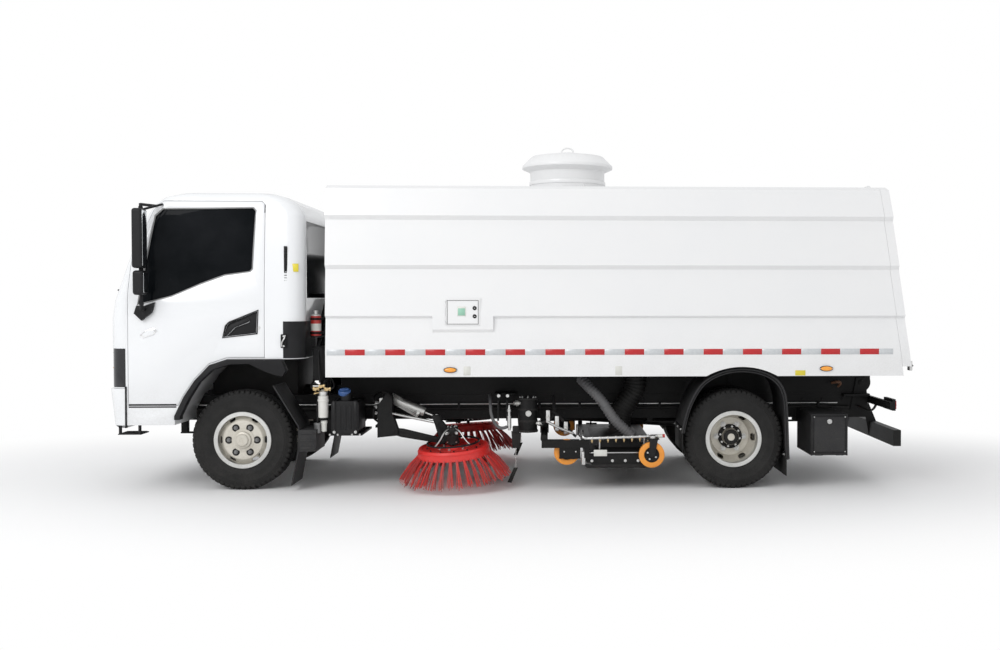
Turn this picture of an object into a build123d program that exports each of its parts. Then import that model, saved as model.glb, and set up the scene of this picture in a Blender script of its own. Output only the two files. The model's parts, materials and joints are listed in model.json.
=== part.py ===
from build123d import *
from math import asin, cos, radians, tan
import os

# A compact street sweeper truck: tilting cab, tipping debris container with a
# stepped side wall, two side brushes on parallelogram arms and a suction nozzle.
# Millimetres. The cab faces -X, the left side is -Y, +Z is up, the ground is Z = 0.

# Driving dimensions of the whole truck
overall_length = 6230
front_overhang = 1050
wheelbase = 3815
front_axle_x = -overall_length / 2 + front_overhang
rear_axle_x = front_axle_x + wheelbase

# Wheels
tyre_radius = 387.5
tyre_width = 190
rim_radius = 203
rim_flange_radius = 219
front_track = 1510
rear_outer_track = 1674
dual_spacing = 245
axle_z = tyre_radius
hub_bore = 30
running_gap = 0.3
rim_slots = 6
rim_slot_ring = 173
wheel_bolts = 6
wheel_bolt_ring = 108

# Chassis frame
rail_outer_y = 400
rail_flange = 65
rail_wall = 6
rail_bottom_z = 500
rail_height = 200
rail_top_z = rail_bottom_z + rail_height
rail_front_x = -2940
rail_rear_x = 2960
tow_plate = 12
tow_bore_z = 590
tow_bore_radius = 26
tow_bolt_spread_y = 120
tow_bolt_spread_z = 55
tow_bolt_radius = 8.5

# Cab
cab_half_width = 950
cab_wall_thickness = 45
cab_front_x = -3101
cab_rear_x = -1580
cab_bottom_z = 521
cab_roof_z = 2300
cab_floor_z = 715
cab_floor_thickness = 40
wheelhouse_z = 1022
bumper_top_z = 800
bumper_proud = 14
bumper_lip_z = 474
step_z = 446
door_gap = 4
door_front_x = -2892
door_rear_x = -1862
door_sill_z = 668
door_top_z = 2235
glass_thickness = 6
glass_inset = 12
cab_hinge_x = -2965
cab_hinge_z = 590
lamp_bottom_z = 812
lamp_top_z = 1105
lamp_inner_y = 560
bumper_rear_x = -2908
grille_half_width = 520
engine_tunnel_y = 345
handle_recess = [(-2174, 1192), (-2152, 1272), (-2128, 1298), (-1916, 1390), (-1925, 1222)]
handle_grip = [(-2150, 1196), (-2085, 1262), (-1975, 1306), (-1985, 1330), (-2118, 1280), (-2164, 1222)]
handle_depth = 24
arch_curve = [(-2543, 500), (-2543, 590), (-2470, 740), (-2390, 860), (-2278, wheelhouse_z - 44),
              (-2146, wheelhouse_z), (-1500, wheelhouse_z), (-1500, 400), (-2543, 400)]
arch_floor = [(-2590, 400), (-2590, 620), (-2510, 770), (-2425, 895), (-2300, wheelhouse_z + 5),
              (-2160, wheelhouse_z + cab_floor_thickness), (-1500, wheelhouse_z + cab_floor_thickness),
              (-1500, 400)]
door_outline = [(door_front_x, door_sill_z), (-2514, door_sill_z), (-2477, 744), (-2396, 866),
                (-2282, wheelhouse_z - 36), (-2148, wheelhouse_z + 9), (door_rear_x, wheelhouse_z + 9),
                (door_rear_x, door_top_z - 30), (door_rear_x - 30, door_top_z), (-2640, door_top_z),
                (-2700, 2190), (-2868, 1800), (door_front_x, 1500)]
window_outline = [(-2820, 1434), (-2560, 1500), (-2344, 1592), (-2160, 1660), (-1968, 1688), (-1950, 1710),
                  (-1930, 2160), (-1952, 2186), (-2640, 2176), (-2700, 2120)]

# Container
box_half_width = 1050
box_front_x = -1385
box_rear_top_x = 2868
box_rear_bottom_x = 3053
box_skirt_z = 888
box_floor_z = 960
box_floor_thickness = 25
box_wall = 30
box_edge_z = 2323
box_crown_z = 2352
rib_depth = 28
rib_steps = ((2115, 2083), (1738, 1708), (1353, 1335))
tailgate_thickness = overall_length / 2 - box_rear_bottom_x + 8
tip_hinge_x = 2900
tip_hinge_z = 790
tip_rail_width = 56
rail_seam_z = 900
outlet_x = 466
outlet_neck_radius = 317
outlet_flange_radius = 385
hatch_x0, hatch_x1, hatch_z0, hatch_z1 = -474, -218, 1280, 1481
hatch_hinge_x = hatch_x0 - 5
hatch_hinge_y = -box_half_width - 4
tailgate_hinge_x = box_rear_top_x + 18
tailgate_hinge_z = box_crown_z + 25

# Side brush
turret_x = -1010
turret_y = 620
arm_plane_y = 740
arm_x = -907
arm_z = 440
arm_reach = 384
arm_drop = 80
rod_offset_x = -43
ram_plane = 78
rod_offset_z = 145
brush_x = -441
brush_y = 780
brush_z = 299
brush_disc_radius = 283
brush_tip_radius = 440
brush_tip_depth = 236
brush_tufts = 36
brush_lean_front = 3.5
brush_lean_out = 4.7

# Tipping ram, with both of its eyes at one distance from the tipping hinge
ram_radius = 950
ram_low_drop = 370
ram_top_rise = 80
ram_low = (tip_hinge_x - ram_radius * cos(asin(ram_low_drop / ram_radius)), tip_hinge_z - ram_low_drop)

# Suction nozzle and its castors
nozzle_half_width = 940
suction_top_x = 1010
suction_y = 560
suction_bore = 74
hose_ribs = 20
hose_rib_width = 13
hose_bend = 150
castor_radius = 100
castor_width = 40
front_castor_x = 446
front_castor_z = 292
rear_castor_x = 1102
rear_castor_z = 276
castor_y = 930

# Fender and tool box
fender_outline = [(1335, 100), (1335, 441), (1360, 575), (1405, 694), (1465, 800), (1537, 870), (1660, 925),
                  (1800, 944), (1950, 925), (2060, 872), (2120, 800), (2150, 694), (2165, 232), (2165, 100)]
tool_hinge_y = -911
tool_hinge_z = 257

nodes = {}


def prism_y(points, y_from, y_to):
    face = Plane.XZ.offset(-y_to) * Polygon(*points, align=None)
    return extrude(face, y_to - y_from, dir=(0, -1, 0))


def prism_x(points, x_from, x_to):
    face = Plane.YZ.offset(x_from) * Polygon(*points, align=None)
    return extrude(face, x_to - x_from, dir=(1, 0, 0))


def prism_z(points, z_from, z_to):
    face = Plane.XY.offset(z_from) * Polygon(*points, align=None)
    return extrude(face, z_to - z_from, dir=(0, 0, 1))


def block(x_from, x_to, y_from, y_to, z_from, z_to):
    centre = Pos((x_from + x_to) / 2, (y_from + y_to) / 2, (z_from + z_to) / 2)
    return centre * Box(x_to - x_from, y_to - y_from, z_to - z_from)


def bar(start, end, radius):
    start, end = Vector(start), Vector(end)
    line = end - start
    seat = Plane(origin=start, z_dir=line)
    return seat * Cylinder(radius, line.length, align=(Align.CENTER, Align.CENTER, Align.MIN))


def bar_y(x, z, y_from, y_to, radius):
    return bar((x, y_from, z), (x, y_to, z), radius)


def turned_y(points, x, z):
    return Pos(x, 0, z) * revolve(Plane.YZ * Polygon(*points, align=None), Axis.Y)


def turned_z(points, x, y):
    return Pos(x, y, 0) * revolve(Plane.XZ * Polygon(*points, align=None), Axis.Z)


def other_side(shape):
    return mirror(shape, about=Plane.XZ)


def both_sides(shape):
    return shape + other_side(shape)


# Chassis frame

def make_frame():
    rail_profile = [
        (-rail_outer_y, rail_bottom_z),
        (-rail_outer_y + rail_flange, rail_bottom_z),
        (-rail_outer_y + rail_flange, rail_bottom_z + rail_wall),
        (-rail_outer_y + rail_wall, rail_bottom_z + rail_wall),
        (-rail_outer_y + rail_wall, rail_top_z - rail_wall),
        (-rail_outer_y + rail_flange, rail_top_z - rail_wall),
        (-rail_outer_y + rail_flange, rail_top_z),
        (-rail_outer_y, rail_top_z),
    ]
    frame = both_sides(prism_x(rail_profile, rail_front_x, rail_rear_x))
    frame -= prism_y([(rail_front_x - 5, rail_bottom_z - 5), (rail_front_x - 5, rail_bottom_z + 80),
                      (rail_front_x + 90, rail_bottom_z - 5)], -rail_outer_y - 5, rail_outer_y + 5)
    for x in (-2900, -1180, -560, 150, 1300, 2250, 2900):
        frame += block(x - 30, x + 30, -rail_outer_y + rail_wall / 2, rail_outer_y - rail_wall / 2,
                       rail_top_z - 62, rail_top_z - rail_wall / 2)
    # ears of the cab hinge
    ear = prism_y([(cab_hinge_x - 32, cab_hinge_z - 18), (cab_hinge_x - 18, cab_hinge_z - 32),
                   (cab_hinge_x + 20, cab_hinge_z - 32), (cab_hinge_x + 85, cab_hinge_z - 5),
                   (cab_hinge_x + 85, cab_hinge_z + 40), (cab_hinge_x - 18, cab_hinge_z + 34),
                   (cab_hinge_x - 32, cab_hinge_z + 18)], -rail_outer_y - 12, -rail_outer_y)
    ear -= bar_y(cab_hinge_x, cab_hinge_z, -rail_outer_y - 20, -rail_outer_y + 10, 16)
    # ears of the tipping hinge
    tip_ear = prism_y([(tip_hinge_x - 90, 560), (tip_hinge_x + 60, 560),
                       (tip_hinge_x + 40, tip_hinge_z + 40), (tip_hinge_x - 40, tip_hinge_z + 40)],
                      -rail_outer_y - 15, -rail_outer_y)
    tip_ear -= bar_y(tip_hinge_x, tip_hinge_z, -rail_outer_y - 20, -rail_outer_y + 10, 20.5)
    # brackets that carry the brush turrets
    turret_bracket = Part()
    for z in (470, 640):
        turret_bracket += block(turret_x - 60, turret_x + 60, -turret_y - 45, -rail_outer_y, z - 10, z + 10)
    turret_bracket += block(turret_x - 60, turret_x + 60, -rail_outer_y - 110, -rail_outer_y, 480, 630)
    turret_bracket += bar((turret_x, -turret_y, 480), (turret_x, -turret_y, 630), 18)
    # cross member and lugs that carry the tipping ram
    frame += both_sides(block(ram_low[0] - 35, ram_low[0] + 35, -rail_outer_y + rail_wall / 2, -95,
                              rail_bottom_z - 10, rail_bottom_z + 60))
    for y_mid in (-104, 104):
        frame += block(ram_low[0] - 35, ram_low[0] + 35, y_mid - 9, y_mid + 9, ram_low[1] - 34, rail_bottom_z + 60)
    frame += bar_y(ram_low[0], ram_low[1], -110, 110, 20)
    # rear tow plate
    for part in (ear, tip_ear, turret_bracket):
        frame += both_sides(part)
    frame += block(rail_rear_x - tow_plate, rail_rear_x, -rail_outer_y, rail_outer_y, rail_bottom_z, rail_top_z)
    frame -= bar((rail_rear_x - 20, 0, tow_bore_z), (rail_rear_x + 20, 0, tow_bore_z), tow_bore_radius)
    for y in (-tow_bolt_spread_y / 2, tow_bolt_spread_y / 2):
        for z in (tow_bore_z - tow_bolt_spread_z / 2, tow_bore_z + tow_bolt_spread_z / 2):
            frame -= bar((rail_rear_x - 20, y, z), (rail_rear_x + 20, y, z), tow_bolt_radius)
    return frame


# Axles and springs

def make_running_gear():
    beam = block(front_axle_x - 35, front_axle_x + 35, -560, 560, axle_z - 90, axle_z - 20)
    eye = bar((front_axle_x, -650, axle_z - 45), (front_axle_x, -650, axle_z + 45), 42)
    arm = prism_x([(-560, axle_z - 90), (-560, axle_z - 20), (-600, axle_z + 35), (-650, axle_z + 35),
                   (-650, axle_z - 40), (-600, axle_z - 40), (-590, axle_z - 60), (-575, axle_z - 90)],
                  front_axle_x - 35, front_axle_x + 35)
    end = eye + arm - bar((front_axle_x, -650, axle_z - 60), (front_axle_x, -650, axle_z + 60), 18 + running_gap)
    gear = beam + both_sides(end)
    housing = turned_y([(-560, 0), (-560, 55), (-260, 60), (-150, 150), (150, 150), (260, 60),
                        (560, 55), (560, 0)], rear_axle_x, axle_z)
    spindle = bar_y(rear_axle_x, axle_z, -rear_outer_track / 2 + 45, rear_outer_track / 2 - 45, hub_bore)
    gear += housing + spindle
    for axle_x, seat_z, span, leaves in ((front_axle_x, axle_z - 20, 620, 3), (rear_axle_x, axle_z + 55, 640, 3)):
        pack = Part()
        for leaf in range(leaves):
            half = span - (leaves - 1 - leaf) * 110
            pack += block(axle_x - half, axle_x + half, -395, -340, seat_z + 11 * leaf, seat_z + 11 * leaf + 11)
        for end_x in (axle_x - span + 30, axle_x + span - 30):
            pack += block(end_x - 25, end_x + 25, -395, -340, seat_z + 11 * leaves - 11, rail_bottom_z)
        gear += both_sides(pack)
    return gear


def make_powertrain():
    engine = block(-2450, -1760, -300, 300, 470, 985)
    mounts = both_sides(block(-2150, -2050, -rail_outer_y + rail_wall, -300, 560, 640))
    gearbox = bar((-1760, 0, 610), (-1250, 0, 590), 150)
    shaft = bar((-1250, 0, 590), (rear_axle_x - 150, 0, axle_z + 20), 38)
    return engine + mounts + gearbox + shaft


# Wheels

def tyre(y_mid):
    half = tyre_width / 2
    return turned_y([(y_mid - half + 18, rim_radius), (y_mid - half + 18, rim_flange_radius + 3),
                     (y_mid - half + 5, rim_radius + 42),
                     (y_mid - half, rim_radius + 95), (y_mid - half + 8, tyre_radius - 30),
                     (y_mid - half + 26, tyre_radius - 6), (y_mid - half + 45, tyre_radius),
                     (y_mid + half - 45, tyre_radius), (y_mid + half - 26, tyre_radius - 6),
                     (y_mid + half - 8, tyre_radius - 30), (y_mid + half, rim_radius + 95),
                     (y_mid + half - 5, rim_radius + 42), (y_mid + half - 18, rim_flange_radius + 3),
                     (y_mid + half - 18, rim_radius)], 0, 0)


def rim(y_mid, disc_y, face_radius):
    half = tyre_width / 2 - 18
    barrel = turned_y([(y_mid - half - 8, rim_flange_radius), (y_mid - half, rim_flange_radius),
                       (y_mid - half, rim_radius), (y_mid + half, rim_radius), (y_mid + half, rim_flange_radius),
                       (y_mid + half + 8, rim_flange_radius), (y_mid + half + 8, rim_radius - 12),
                       (y_mid - half - 8, rim_radius - 12)], 0, 0)
    disc = turned_y([(disc_y, hub_bore + running_gap), (disc_y, face_radius), (y_mid - 20, rim_radius - 8),
                     (y_mid, rim_radius - 8), (disc_y + 14, face_radius - 4),
                     (disc_y + 14, hub_bore + running_gap)], 0, 0)
    return barrel + disc


def ring_of_slots(count, ring_radius, length, width, y_from, y_to):
    slot_face = Plane.XZ.offset(-y_to) * Pos(0, ring_radius, 0) * SlotOverall(length, width)
    slot = extrude(slot_face, y_to - y_from, dir=(0, -1, 0))
    return [Rot(0, 360 / count * (index + 0.5), 0) * slot for index in range(count)]


def ring_of_bars(count, ring_radius, bar_radius, y_from, y_to):
    one = bar_y(ring_radius, 0, y_from, y_to, bar_radius)
    return [Rot(0, 360 / count * index, 0) * one for index in range(count)]


def make_wheels():
    front_y = -front_track / 2
    outer_y = -rear_outer_track / 2
    inner_y = outer_y + dual_spacing
    front_tyre = Pos(front_axle_x, 0, axle_z) * tyre(front_y)
    front_disc = rim(front_y, front_y - 70, 150)
    front_disc -= ring_of_slots(rim_slots, rim_slot_ring, 54, 24, front_y - 95, front_y)
    front_disc -= ring_of_bars(wheel_bolts, wheel_bolt_ring, 17, front_y - 80, front_y - 50)
    front_rim = Pos(front_axle_x, 0, axle_z) * front_disc
    front_hub = turned_y([(front_y - 90, 0), (front_y - 90, 50), (front_y - 70, 62), (front_y - 40, 62),
                          (front_y - 40, hub_bore + running_gap), (front_y - 75, hub_bore + running_gap),
                          (front_y - 75, 0)], front_axle_x, axle_z)
    rear_tyres = Pos(rear_axle_x, 0, axle_z) * (tyre(outer_y) + tyre(inner_y))
    hub_face = (outer_y + inner_y) / 2
    rear_rim = rim(outer_y, hub_face - 14, 150) + rim(inner_y, hub_face, 150)
    rear_rim -= ring_of_slots(rim_slots, rim_slot_ring, 58, 26, outer_y - 30, hub_face - 20)
    rear_rim += turned_y([(hub_face + 14, hub_bore + running_gap), (hub_face + 14, 165), (-566, 165),
                          (-566, hub_bore + running_gap)], 0, 0)
    rear_rim += turned_y([(hub_face - 14, hub_bore + running_gap), (hub_face - 14, 95), (hub_face - 30, 95),
                          (hub_face - 36, 68), (hub_face - 84, 62), (hub_face - 90, 50), (hub_face - 90, 0),
                          (hub_face - 82, 0), (hub_face - 82, hub_bore + running_gap)], 0, 0)
    rear_rim += ring_of_bars(wheel_bolts, wheel_bolt_ring, 15, hub_face - 42, hub_face - 10)
    rear_rims = Pos(rear_axle_x, 0, axle_z) * rear_rim
    return front_tyre, front_rim + front_hub, rear_tyres, rear_rims


# Steering knuckles

def make_knuckle():
    pin = bar((front_axle_x, -650, axle_z - 75), (front_axle_x, -650, axle_z + 75), 18)
    yoke = Part()
    for z_from, z_to in ((axle_z - 75, axle_z - 47), (axle_z + 47, axle_z + 75)):
        yoke += block(front_axle_x - 32, front_axle_x + 32, -712, -618, z_from, z_to)
    yoke += block(front_axle_x - 45, front_axle_x + 45, -712, -696, axle_z - 75, axle_z + 75)
    spindle = bar_y(front_axle_x, axle_z, -front_track / 2 - 72, -705, hub_bore)
    steering_arm = block(front_axle_x, front_axle_x + 165, -662, -634, axle_z - 75, axle_z - 55)
    return pin + yoke + spindle + steering_arm


# Side brush group, modelled for the left side

def brush_plane(depth=0):
    normal = Vector(-tan(radians(brush_lean_front)), -tan(radians(brush_lean_out)), 1).normalized()
    centre = Vector(brush_x, -brush_y, brush_z) + normal * depth
    return Plane(origin=centre, z_dir=normal)


def make_turret():
    sleeve = bar((turret_x, -turret_y, 482), (turret_x, -turret_y, 628), 42)
    sleeve -= bar((turret_x, -turret_y, 470), (turret_x, -turret_y, 640), 18 + running_gap)
    upper_x, upper_z = arm_x + rod_offset_x, arm_z + rod_offset_z
    cheek_outline = [(arm_x - 130, arm_z - 45), (arm_x + 28, arm_z - 30), (arm_x + 28, arm_z + 20),
                     (upper_x + 28, upper_z), (upper_x + 28, upper_z + 140), (upper_x - 20, upper_z + 150),
                     (arm_x - 130, upper_z + 60)]
    cheeks = Part()
    for y in (-arm_plane_y - 40, -arm_plane_y + 28):
        cheeks += prism_y(cheek_outline, y, y + 12)
    back = block(arm_x - 130, arm_x - 115, -arm_plane_y - 40, -arm_plane_y + 40, arm_z - 45, upper_z + 60)
    neck = block(turret_x - 25, turret_x + 25, -arm_plane_y + 35, -turret_y - 30, 500, 610)
    pins = bar_y(arm_x, arm_z, -arm_plane_y - 46, -arm_plane_y + 46, 12)
    pins += bar_y(upper_x, upper_z, -arm_plane_y - 46, -arm_plane_y + 46, 10)
    ram_pin = bar_y(upper_x, upper_z + 110, -arm_plane_y + 28, -arm_plane_y + ram_plane + 22, 8)
    return sleeve + cheeks + back + neck + pins + ram_pin


def make_brush_arm():
    far = (arm_x + arm_reach, arm_z - arm_drop)
    slope = Vector(arm_reach, 0, -arm_drop).normalized()
    side = Vector(slope.Z, 0, -slope.X)
    outline = []
    for along, half in ((0, 24), (60, 32), (arm_reach - 60, 22), (arm_reach + 14, 20)):
        outline.append((arm_x + slope.X * along - side.X * half, arm_z + slope.Z * along - side.Z * half))
    for along, half in ((arm_reach + 14, 20), (arm_reach - 60, 22), (60, 32), (0, 24)):
        outline.append((arm_x + slope.X * along + side.X * half, arm_z + slope.Z * along + side.Z * half))
    arm = prism_y(outline, -arm_plane_y - 24, -arm_plane_y + 24)
    arm += bar_y(arm_x, arm_z, -arm_plane_y - 24, -arm_plane_y + 24, 24)
    arm += bar_y(far[0], far[1], -arm_plane_y - 24, -arm_plane_y + 24, 22)
    arm -= bar_y(arm_x, arm_z, -arm_plane_y - 60, -arm_plane_y + 60, 12 + running_gap)
    arm -= bar_y(far[0], far[1], -arm_plane_y - 60, -arm_plane_y + 60, 12 + running_gap)
    return arm


def make_brush_rod():
    near = (arm_x + rod_offset_x, -arm_plane_y, arm_z + rod_offset_z)
    far = (near[0] + arm_reach, -arm_plane_y, near[2] - arm_drop)
    rod = bar(near, far, 11)
    for x, y, z in (near, far):
        rod += bar_y(x, z, y - 14, y + 14, 20)
    for x, y, z in (near, far):
        rod -= bar_y(x, z, y - 30, y + 30, 10 + running_gap)
    return rod


def make_brush_head():
    far_x, far_z = arm_x + arm_reach, arm_z - arm_drop
    top_x, top_z = far_x + rod_offset_x, far_z + rod_offset_z
    outline = [(far_x - 26, far_z - 24), (far_x + 60, far_z + 20), (far_x + 70, far_z + 60),
               (top_x + 28, top_z + 20), (top_x + 10, top_z + 60), (top_x - 50, top_z + 60),
               (top_x - 26, top_z), (far_x - 30, far_z + 20)]
    cheeks = Part()
    for y in (-arm_plane_y - 40, -arm_plane_y + 28):
        cheeks += prism_y(outline, y, y + 12)
    pins = bar_y(far_x, far_z, -arm_plane_y - 46, -arm_plane_y + 46, 12)
    pins += bar_y(top_x, top_z, -arm_plane_y - 46, -arm_plane_y + 46, 10)
    ram_pin = bar_y(top_x - 20, top_z + 38, -arm_plane_y + 28, -arm_plane_y + ram_plane + 22, 8)
    motor = brush_plane(62) * Cylinder(44, 120, align=(Align.CENTER, Align.CENTER, Align.MIN))
    seat = brush_plane(50) * Cylinder(50, 14, align=(Align.CENTER, Align.CENTER, Align.MIN))
    link = block(far_x + 30, brush_x + 10, -arm_plane_y - 40, -arm_plane_y + 40, far_z + 32, far_z + 52)
    spindle = brush_plane(12) * Cylinder(14, 45, align=(Align.CENTER, Align.CENTER, Align.MIN))
    return cheeks + pins + ram_pin + motor + seat + link + spindle


def make_brush():
    profile = [(14 + running_gap, 0), (14 + running_gap, 34), (60, 34), (60, 14), (brush_disc_radius - 40, 22),
               (brush_disc_radius - 18, 30), (brush_disc_radius, -38), (brush_disc_radius - 16, -38),
               (brush_disc_radius - 30, 6), (60, 0)]
    disc = revolve(Plane.XZ * Polygon(*profile, align=None), Axis.Z)
    root_radius = brush_disc_radius - 16
    tuft_line = Vector(brush_tip_radius - 22 - root_radius, 0, -brush_tip_depth + 30)
    root = Plane(origin=(root_radius - 8, 0, -20), x_dir=(0, 1, 0), z_dir=tuft_line)
    tuft = loft([root * Rectangle(20, 12), root.offset(tuft_line.length) * Rectangle(46, 16)])
    tufts = [Rot(0, 0, 360 / brush_tufts * index) * tuft for index in range(brush_tufts)]
    return brush_plane() * (disc + tufts)


def ram_ends():
    top = Vector(arm_x + rod_offset_x, -arm_plane_y + ram_plane, arm_z + rod_offset_z + 110)
    end = Vector(arm_x + rod_offset_x + arm_reach - 20, -arm_plane_y + ram_plane, arm_z + rod_offset_z - arm_drop + 38)
    return top, end


def make_brush_ram():
    top, end = ram_ends()
    line = (end - top).normalized()
    eye_width = 22
    barrel = bar((top + line * 30), (top + line * 290), 34)
    barrel += bar(top, (top + line * 34), 12)
    barrel += bar_y(top.X, top.Z, top.Y - eye_width / 2, top.Y + eye_width / 2, 18)
    barrel -= bar_y(top.X, top.Z, top.Y - 40, top.Y + 40, 8 + running_gap)
    barrel -= bar((top + line * 200), (top + line * 300), 9 + running_gap)
    rod = bar((top + line * 250), end, 9)
    rod += bar_y(end.X, end.Z, end.Y - eye_width / 2, end.Y + eye_width / 2, 22)
    rod -= bar_y(end.X, end.Z, end.Y - 40, end.Y + 40, 8 + 6)
    return barrel, rod


# Suction nozzle, its frame and castors

def make_nozzle():
    hood = prism_y([(580, 300), (590, 220), (660, 192), (1141, 192), (1160, 300)], -nozzle_half_width, nozzle_half_width)
    hood -= prism_y([(640, 250), (700, 180), (1100, 180), (1120, 280)], -nozzle_half_width + 12, nozzle_half_width - 12)
    mouth = loft([Pos(870, 0, 299) * Rectangle(420, 1400), Pos(880, -suction_y, 420) * Circle(suction_bore + 16)])
    hood += mouth
    side = block(250, 620, -nozzle_half_width - 22, -nozzle_half_width, 330, 390)
    side += block(580, 620, -nozzle_half_width - 22, -nozzle_half_width, 250, 340)
    side += block(388, 551, -nozzle_half_width - 12, -nozzle_half_width, 245, 335)
    side += bar_y(front_castor_x, front_castor_z, -nozzle_half_width, -nozzle_half_width + 62, 13)
    side += bar_y(rear_castor_x, rear_castor_z, -nozzle_half_width - 62, -nozzle_half_width, 13)
    hood += both_sides(side)
    hood += bar((270, -nozzle_half_width, 400), (270, nozzle_half_width, 400), 28)
    for y_mid in (-380, 380):
        hood += block(235, 305, y_mid - 8, y_mid + 8, 380, rail_bottom_z)
    return hood


def make_castor(x, z, y):
    half = castor_width / 2
    bore = 13 + running_gap
    return turned_y([(y - half, bore), (y - half, 68), (y - half + 2, castor_radius - 3),
                     (y - half + 6, castor_radius), (y + half - 6, castor_radius),
                     (y + half - 2, castor_radius - 3), (y + half, 68), (y + half, bore)], x, z)


# Cab

cab_levels = (
    # height, front, half width, rear, nose depth at the corner
    (cab_bottom_z - 1, cab_front_x + 32, cab_half_width, -1580, 72),
    (815, cab_front_x, cab_half_width, -1580, 72),
    (1330, cab_front_x, cab_half_width, -1580, 72),
    (1470, cab_front_x + 20, cab_half_width - 2, -1580, 72),
    (1850, cab_front_x + 146, cab_half_width - 22, -1580, 72),
    (2130, cab_front_x + 262, cab_half_width - 50, -1585, 70),
    (2215, cab_front_x + 320, cab_half_width - 64, -1640, 66),
    (2268, cab_front_x + 390, cab_half_width - 90, -1720, 60),
    (cab_roof_z, cab_front_x + 500, cab_half_width - 150, -1830, 50),
)


def cab_section(level, inset):
    height, front, half, rear, nose = level
    x0, x1, half = front + inset, rear - inset, half - inset
    z = height
    corner = [(x0 + 200, -half), (x0 + 108, -half + 20), (x0 + nose, -half + 72)]
    back = [(x1 - 150, -half), (x1 - 30, -half + 36), (x1, -half + 150)]
    edges = [
        Line(corner[0], back[0]),
        ThreePointArc(*back),
        Line(back[2], (back[2][0], -back[2][1])),
        ThreePointArc(*[(x, -y) for x, y in reversed(back)]),
        Line((back[0][0], -back[0][1]), (corner[0][0], -corner[0][1])),
        ThreePointArc(*[(x, -y) for x, y in corner]),
        ThreePointArc((corner[2][0], -corner[2][1]), (x0, 0), corner[2]),
        ThreePointArc(*reversed(corner)),
    ]
    return Pos(0, 0, z) * make_face(edges)


def cab_form(inset):
    levels = []
    for level in cab_levels:
        height = level[0]
        if height == cab_roof_z:
            height = cab_roof_z - inset
        elif height > 2100:
            height = height - inset * 0.7
        levels.append(cab_section((height,) + level[1:], inset))
    return loft(levels, ruled=True)


def offset_outline(points, amount, y_from, y_to):
    face = Plane.XZ.offset(-y_to) * offset(Polygon(*points, align=None), amount, kind=Kind.INTERSECTION)
    return extrude(face, y_to - y_from, dir=(0, -1, 0))


cab_outer = cab_form(0)
cab_inner = cab_form(cab_wall_thickness)
cab_skin = cab_outer - cab_inner


def make_cab_shell():
    arch = prism_y(arch_curve, -cab_half_width - 10, cab_half_width + 10)
    wheelhouse = prism_y(arch_floor, -cab_half_width - 10, cab_half_width + 10)
    under_floor = block(-3200, -1500, -cab_half_width, cab_half_width, 400, cab_floor_z + cab_floor_thickness)
    shell = cab_skin - arch
    tunnel_cover = block(-2600, -1500, -engine_tunnel_y - 40, engine_tunnel_y + 40, 400,
                         wheelhouse_z + cab_floor_thickness)
    floor = (cab_inner & (wheelhouse + under_floor + tunnel_cover)) - arch
    floor -= block(-3200, -2560, -cab_half_width, cab_half_width, 400, cab_floor_z)
    for side in (-1, 1):
        well = cab_inner & block(-3060, -2560, *sorted((side * 430, side * cab_half_width)), 630, cab_floor_z)
        floor += well - arch
    floor -= block(-2560, -1500, -engine_tunnel_y, engine_tunnel_y, 400, wheelhouse_z)
    floor -= block(-3200, -2440, -rail_outer_y - 25, rail_outer_y + 25, 400, cab_floor_z)
    shell += floor
    doorway = prism_y(door_outline, -cab_half_width - 20, -600) & cab_skin
    shell -= both_sides(doorway)
    bumper_zone = block(-3300, bumper_rear_x, -cab_half_width - 50, cab_half_width + 50, 400, bumper_top_z + 2)
    shell -= bumper_zone & cab_skin
    lamp_zone = block(-3300, bumper_rear_x, -cab_half_width - 50, -lamp_inner_y, lamp_bottom_z - 2, lamp_top_z)
    shell -= both_sides(lamp_zone & cab_skin)
    grille_zone = block(-3300, -3000, -grille_half_width, grille_half_width, 830, 1085)
    shell -= grille_zone
    shell -= prism_x(windscreen_outline(0), -3200, -2560)
    shell -= rear_window(0)
    # hinge lugs under the floor
    lug = block(cab_hinge_x - 35, cab_hinge_x + 35, -rail_outer_y - 28, -rail_outer_y - 13, cab_hinge_z - 30, cab_floor_z)
    lug += bar_y(cab_hinge_x, cab_hinge_z, -rail_outer_y - 28, -rail_outer_y + 4, 15.6)
    shell += both_sides(lug)
    return shell


def windscreen_outline(inset):
    return [(-868 + inset, 1478 + inset), (868 - inset, 1478 + inset), (845 - inset, 1800),
            (800 - inset, 2165 - inset), (-800 + inset, 2165 - inset), (-845 + inset, 1800)]


def rear_window(inset):
    return block(-1760, -1500, -770 + inset, 770 - inset, 1490 + inset, 2090 - inset)


def make_cab_glass():
    pane = cab_form(glass_inset) - cab_form(glass_inset + glass_thickness)
    screen = pane & prism_x(windscreen_outline(0), -3200, -2560)
    back = pane & rear_window(0)
    return screen + back


def make_door():
    panel = cab_skin & offset_outline(door_outline, -door_gap, -cab_half_width - 20, -600)
    panel -= block(door_front_x, door_front_x + 24, -cab_half_width + 30, -600, 600, 800)
    panel -= block(door_rear_x - door_gap - 6, door_rear_x, -cab_half_width + 52, -600, 1900, door_top_z)
    panel -= prism_y(window_outline, -cab_half_width - 20, -600)
    panel -= prism_y(handle_recess, -cab_half_width - 20, -cab_half_width + handle_depth)
    panel += prism_y(handle_grip, -cab_half_width, -cab_half_width + handle_depth + 2)
    return panel


def make_door_glass():
    pane = cab_form(glass_inset) - cab_form(glass_inset + glass_thickness)
    return pane & prism_y(window_outline, -cab_half_width - 20, -600)


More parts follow.
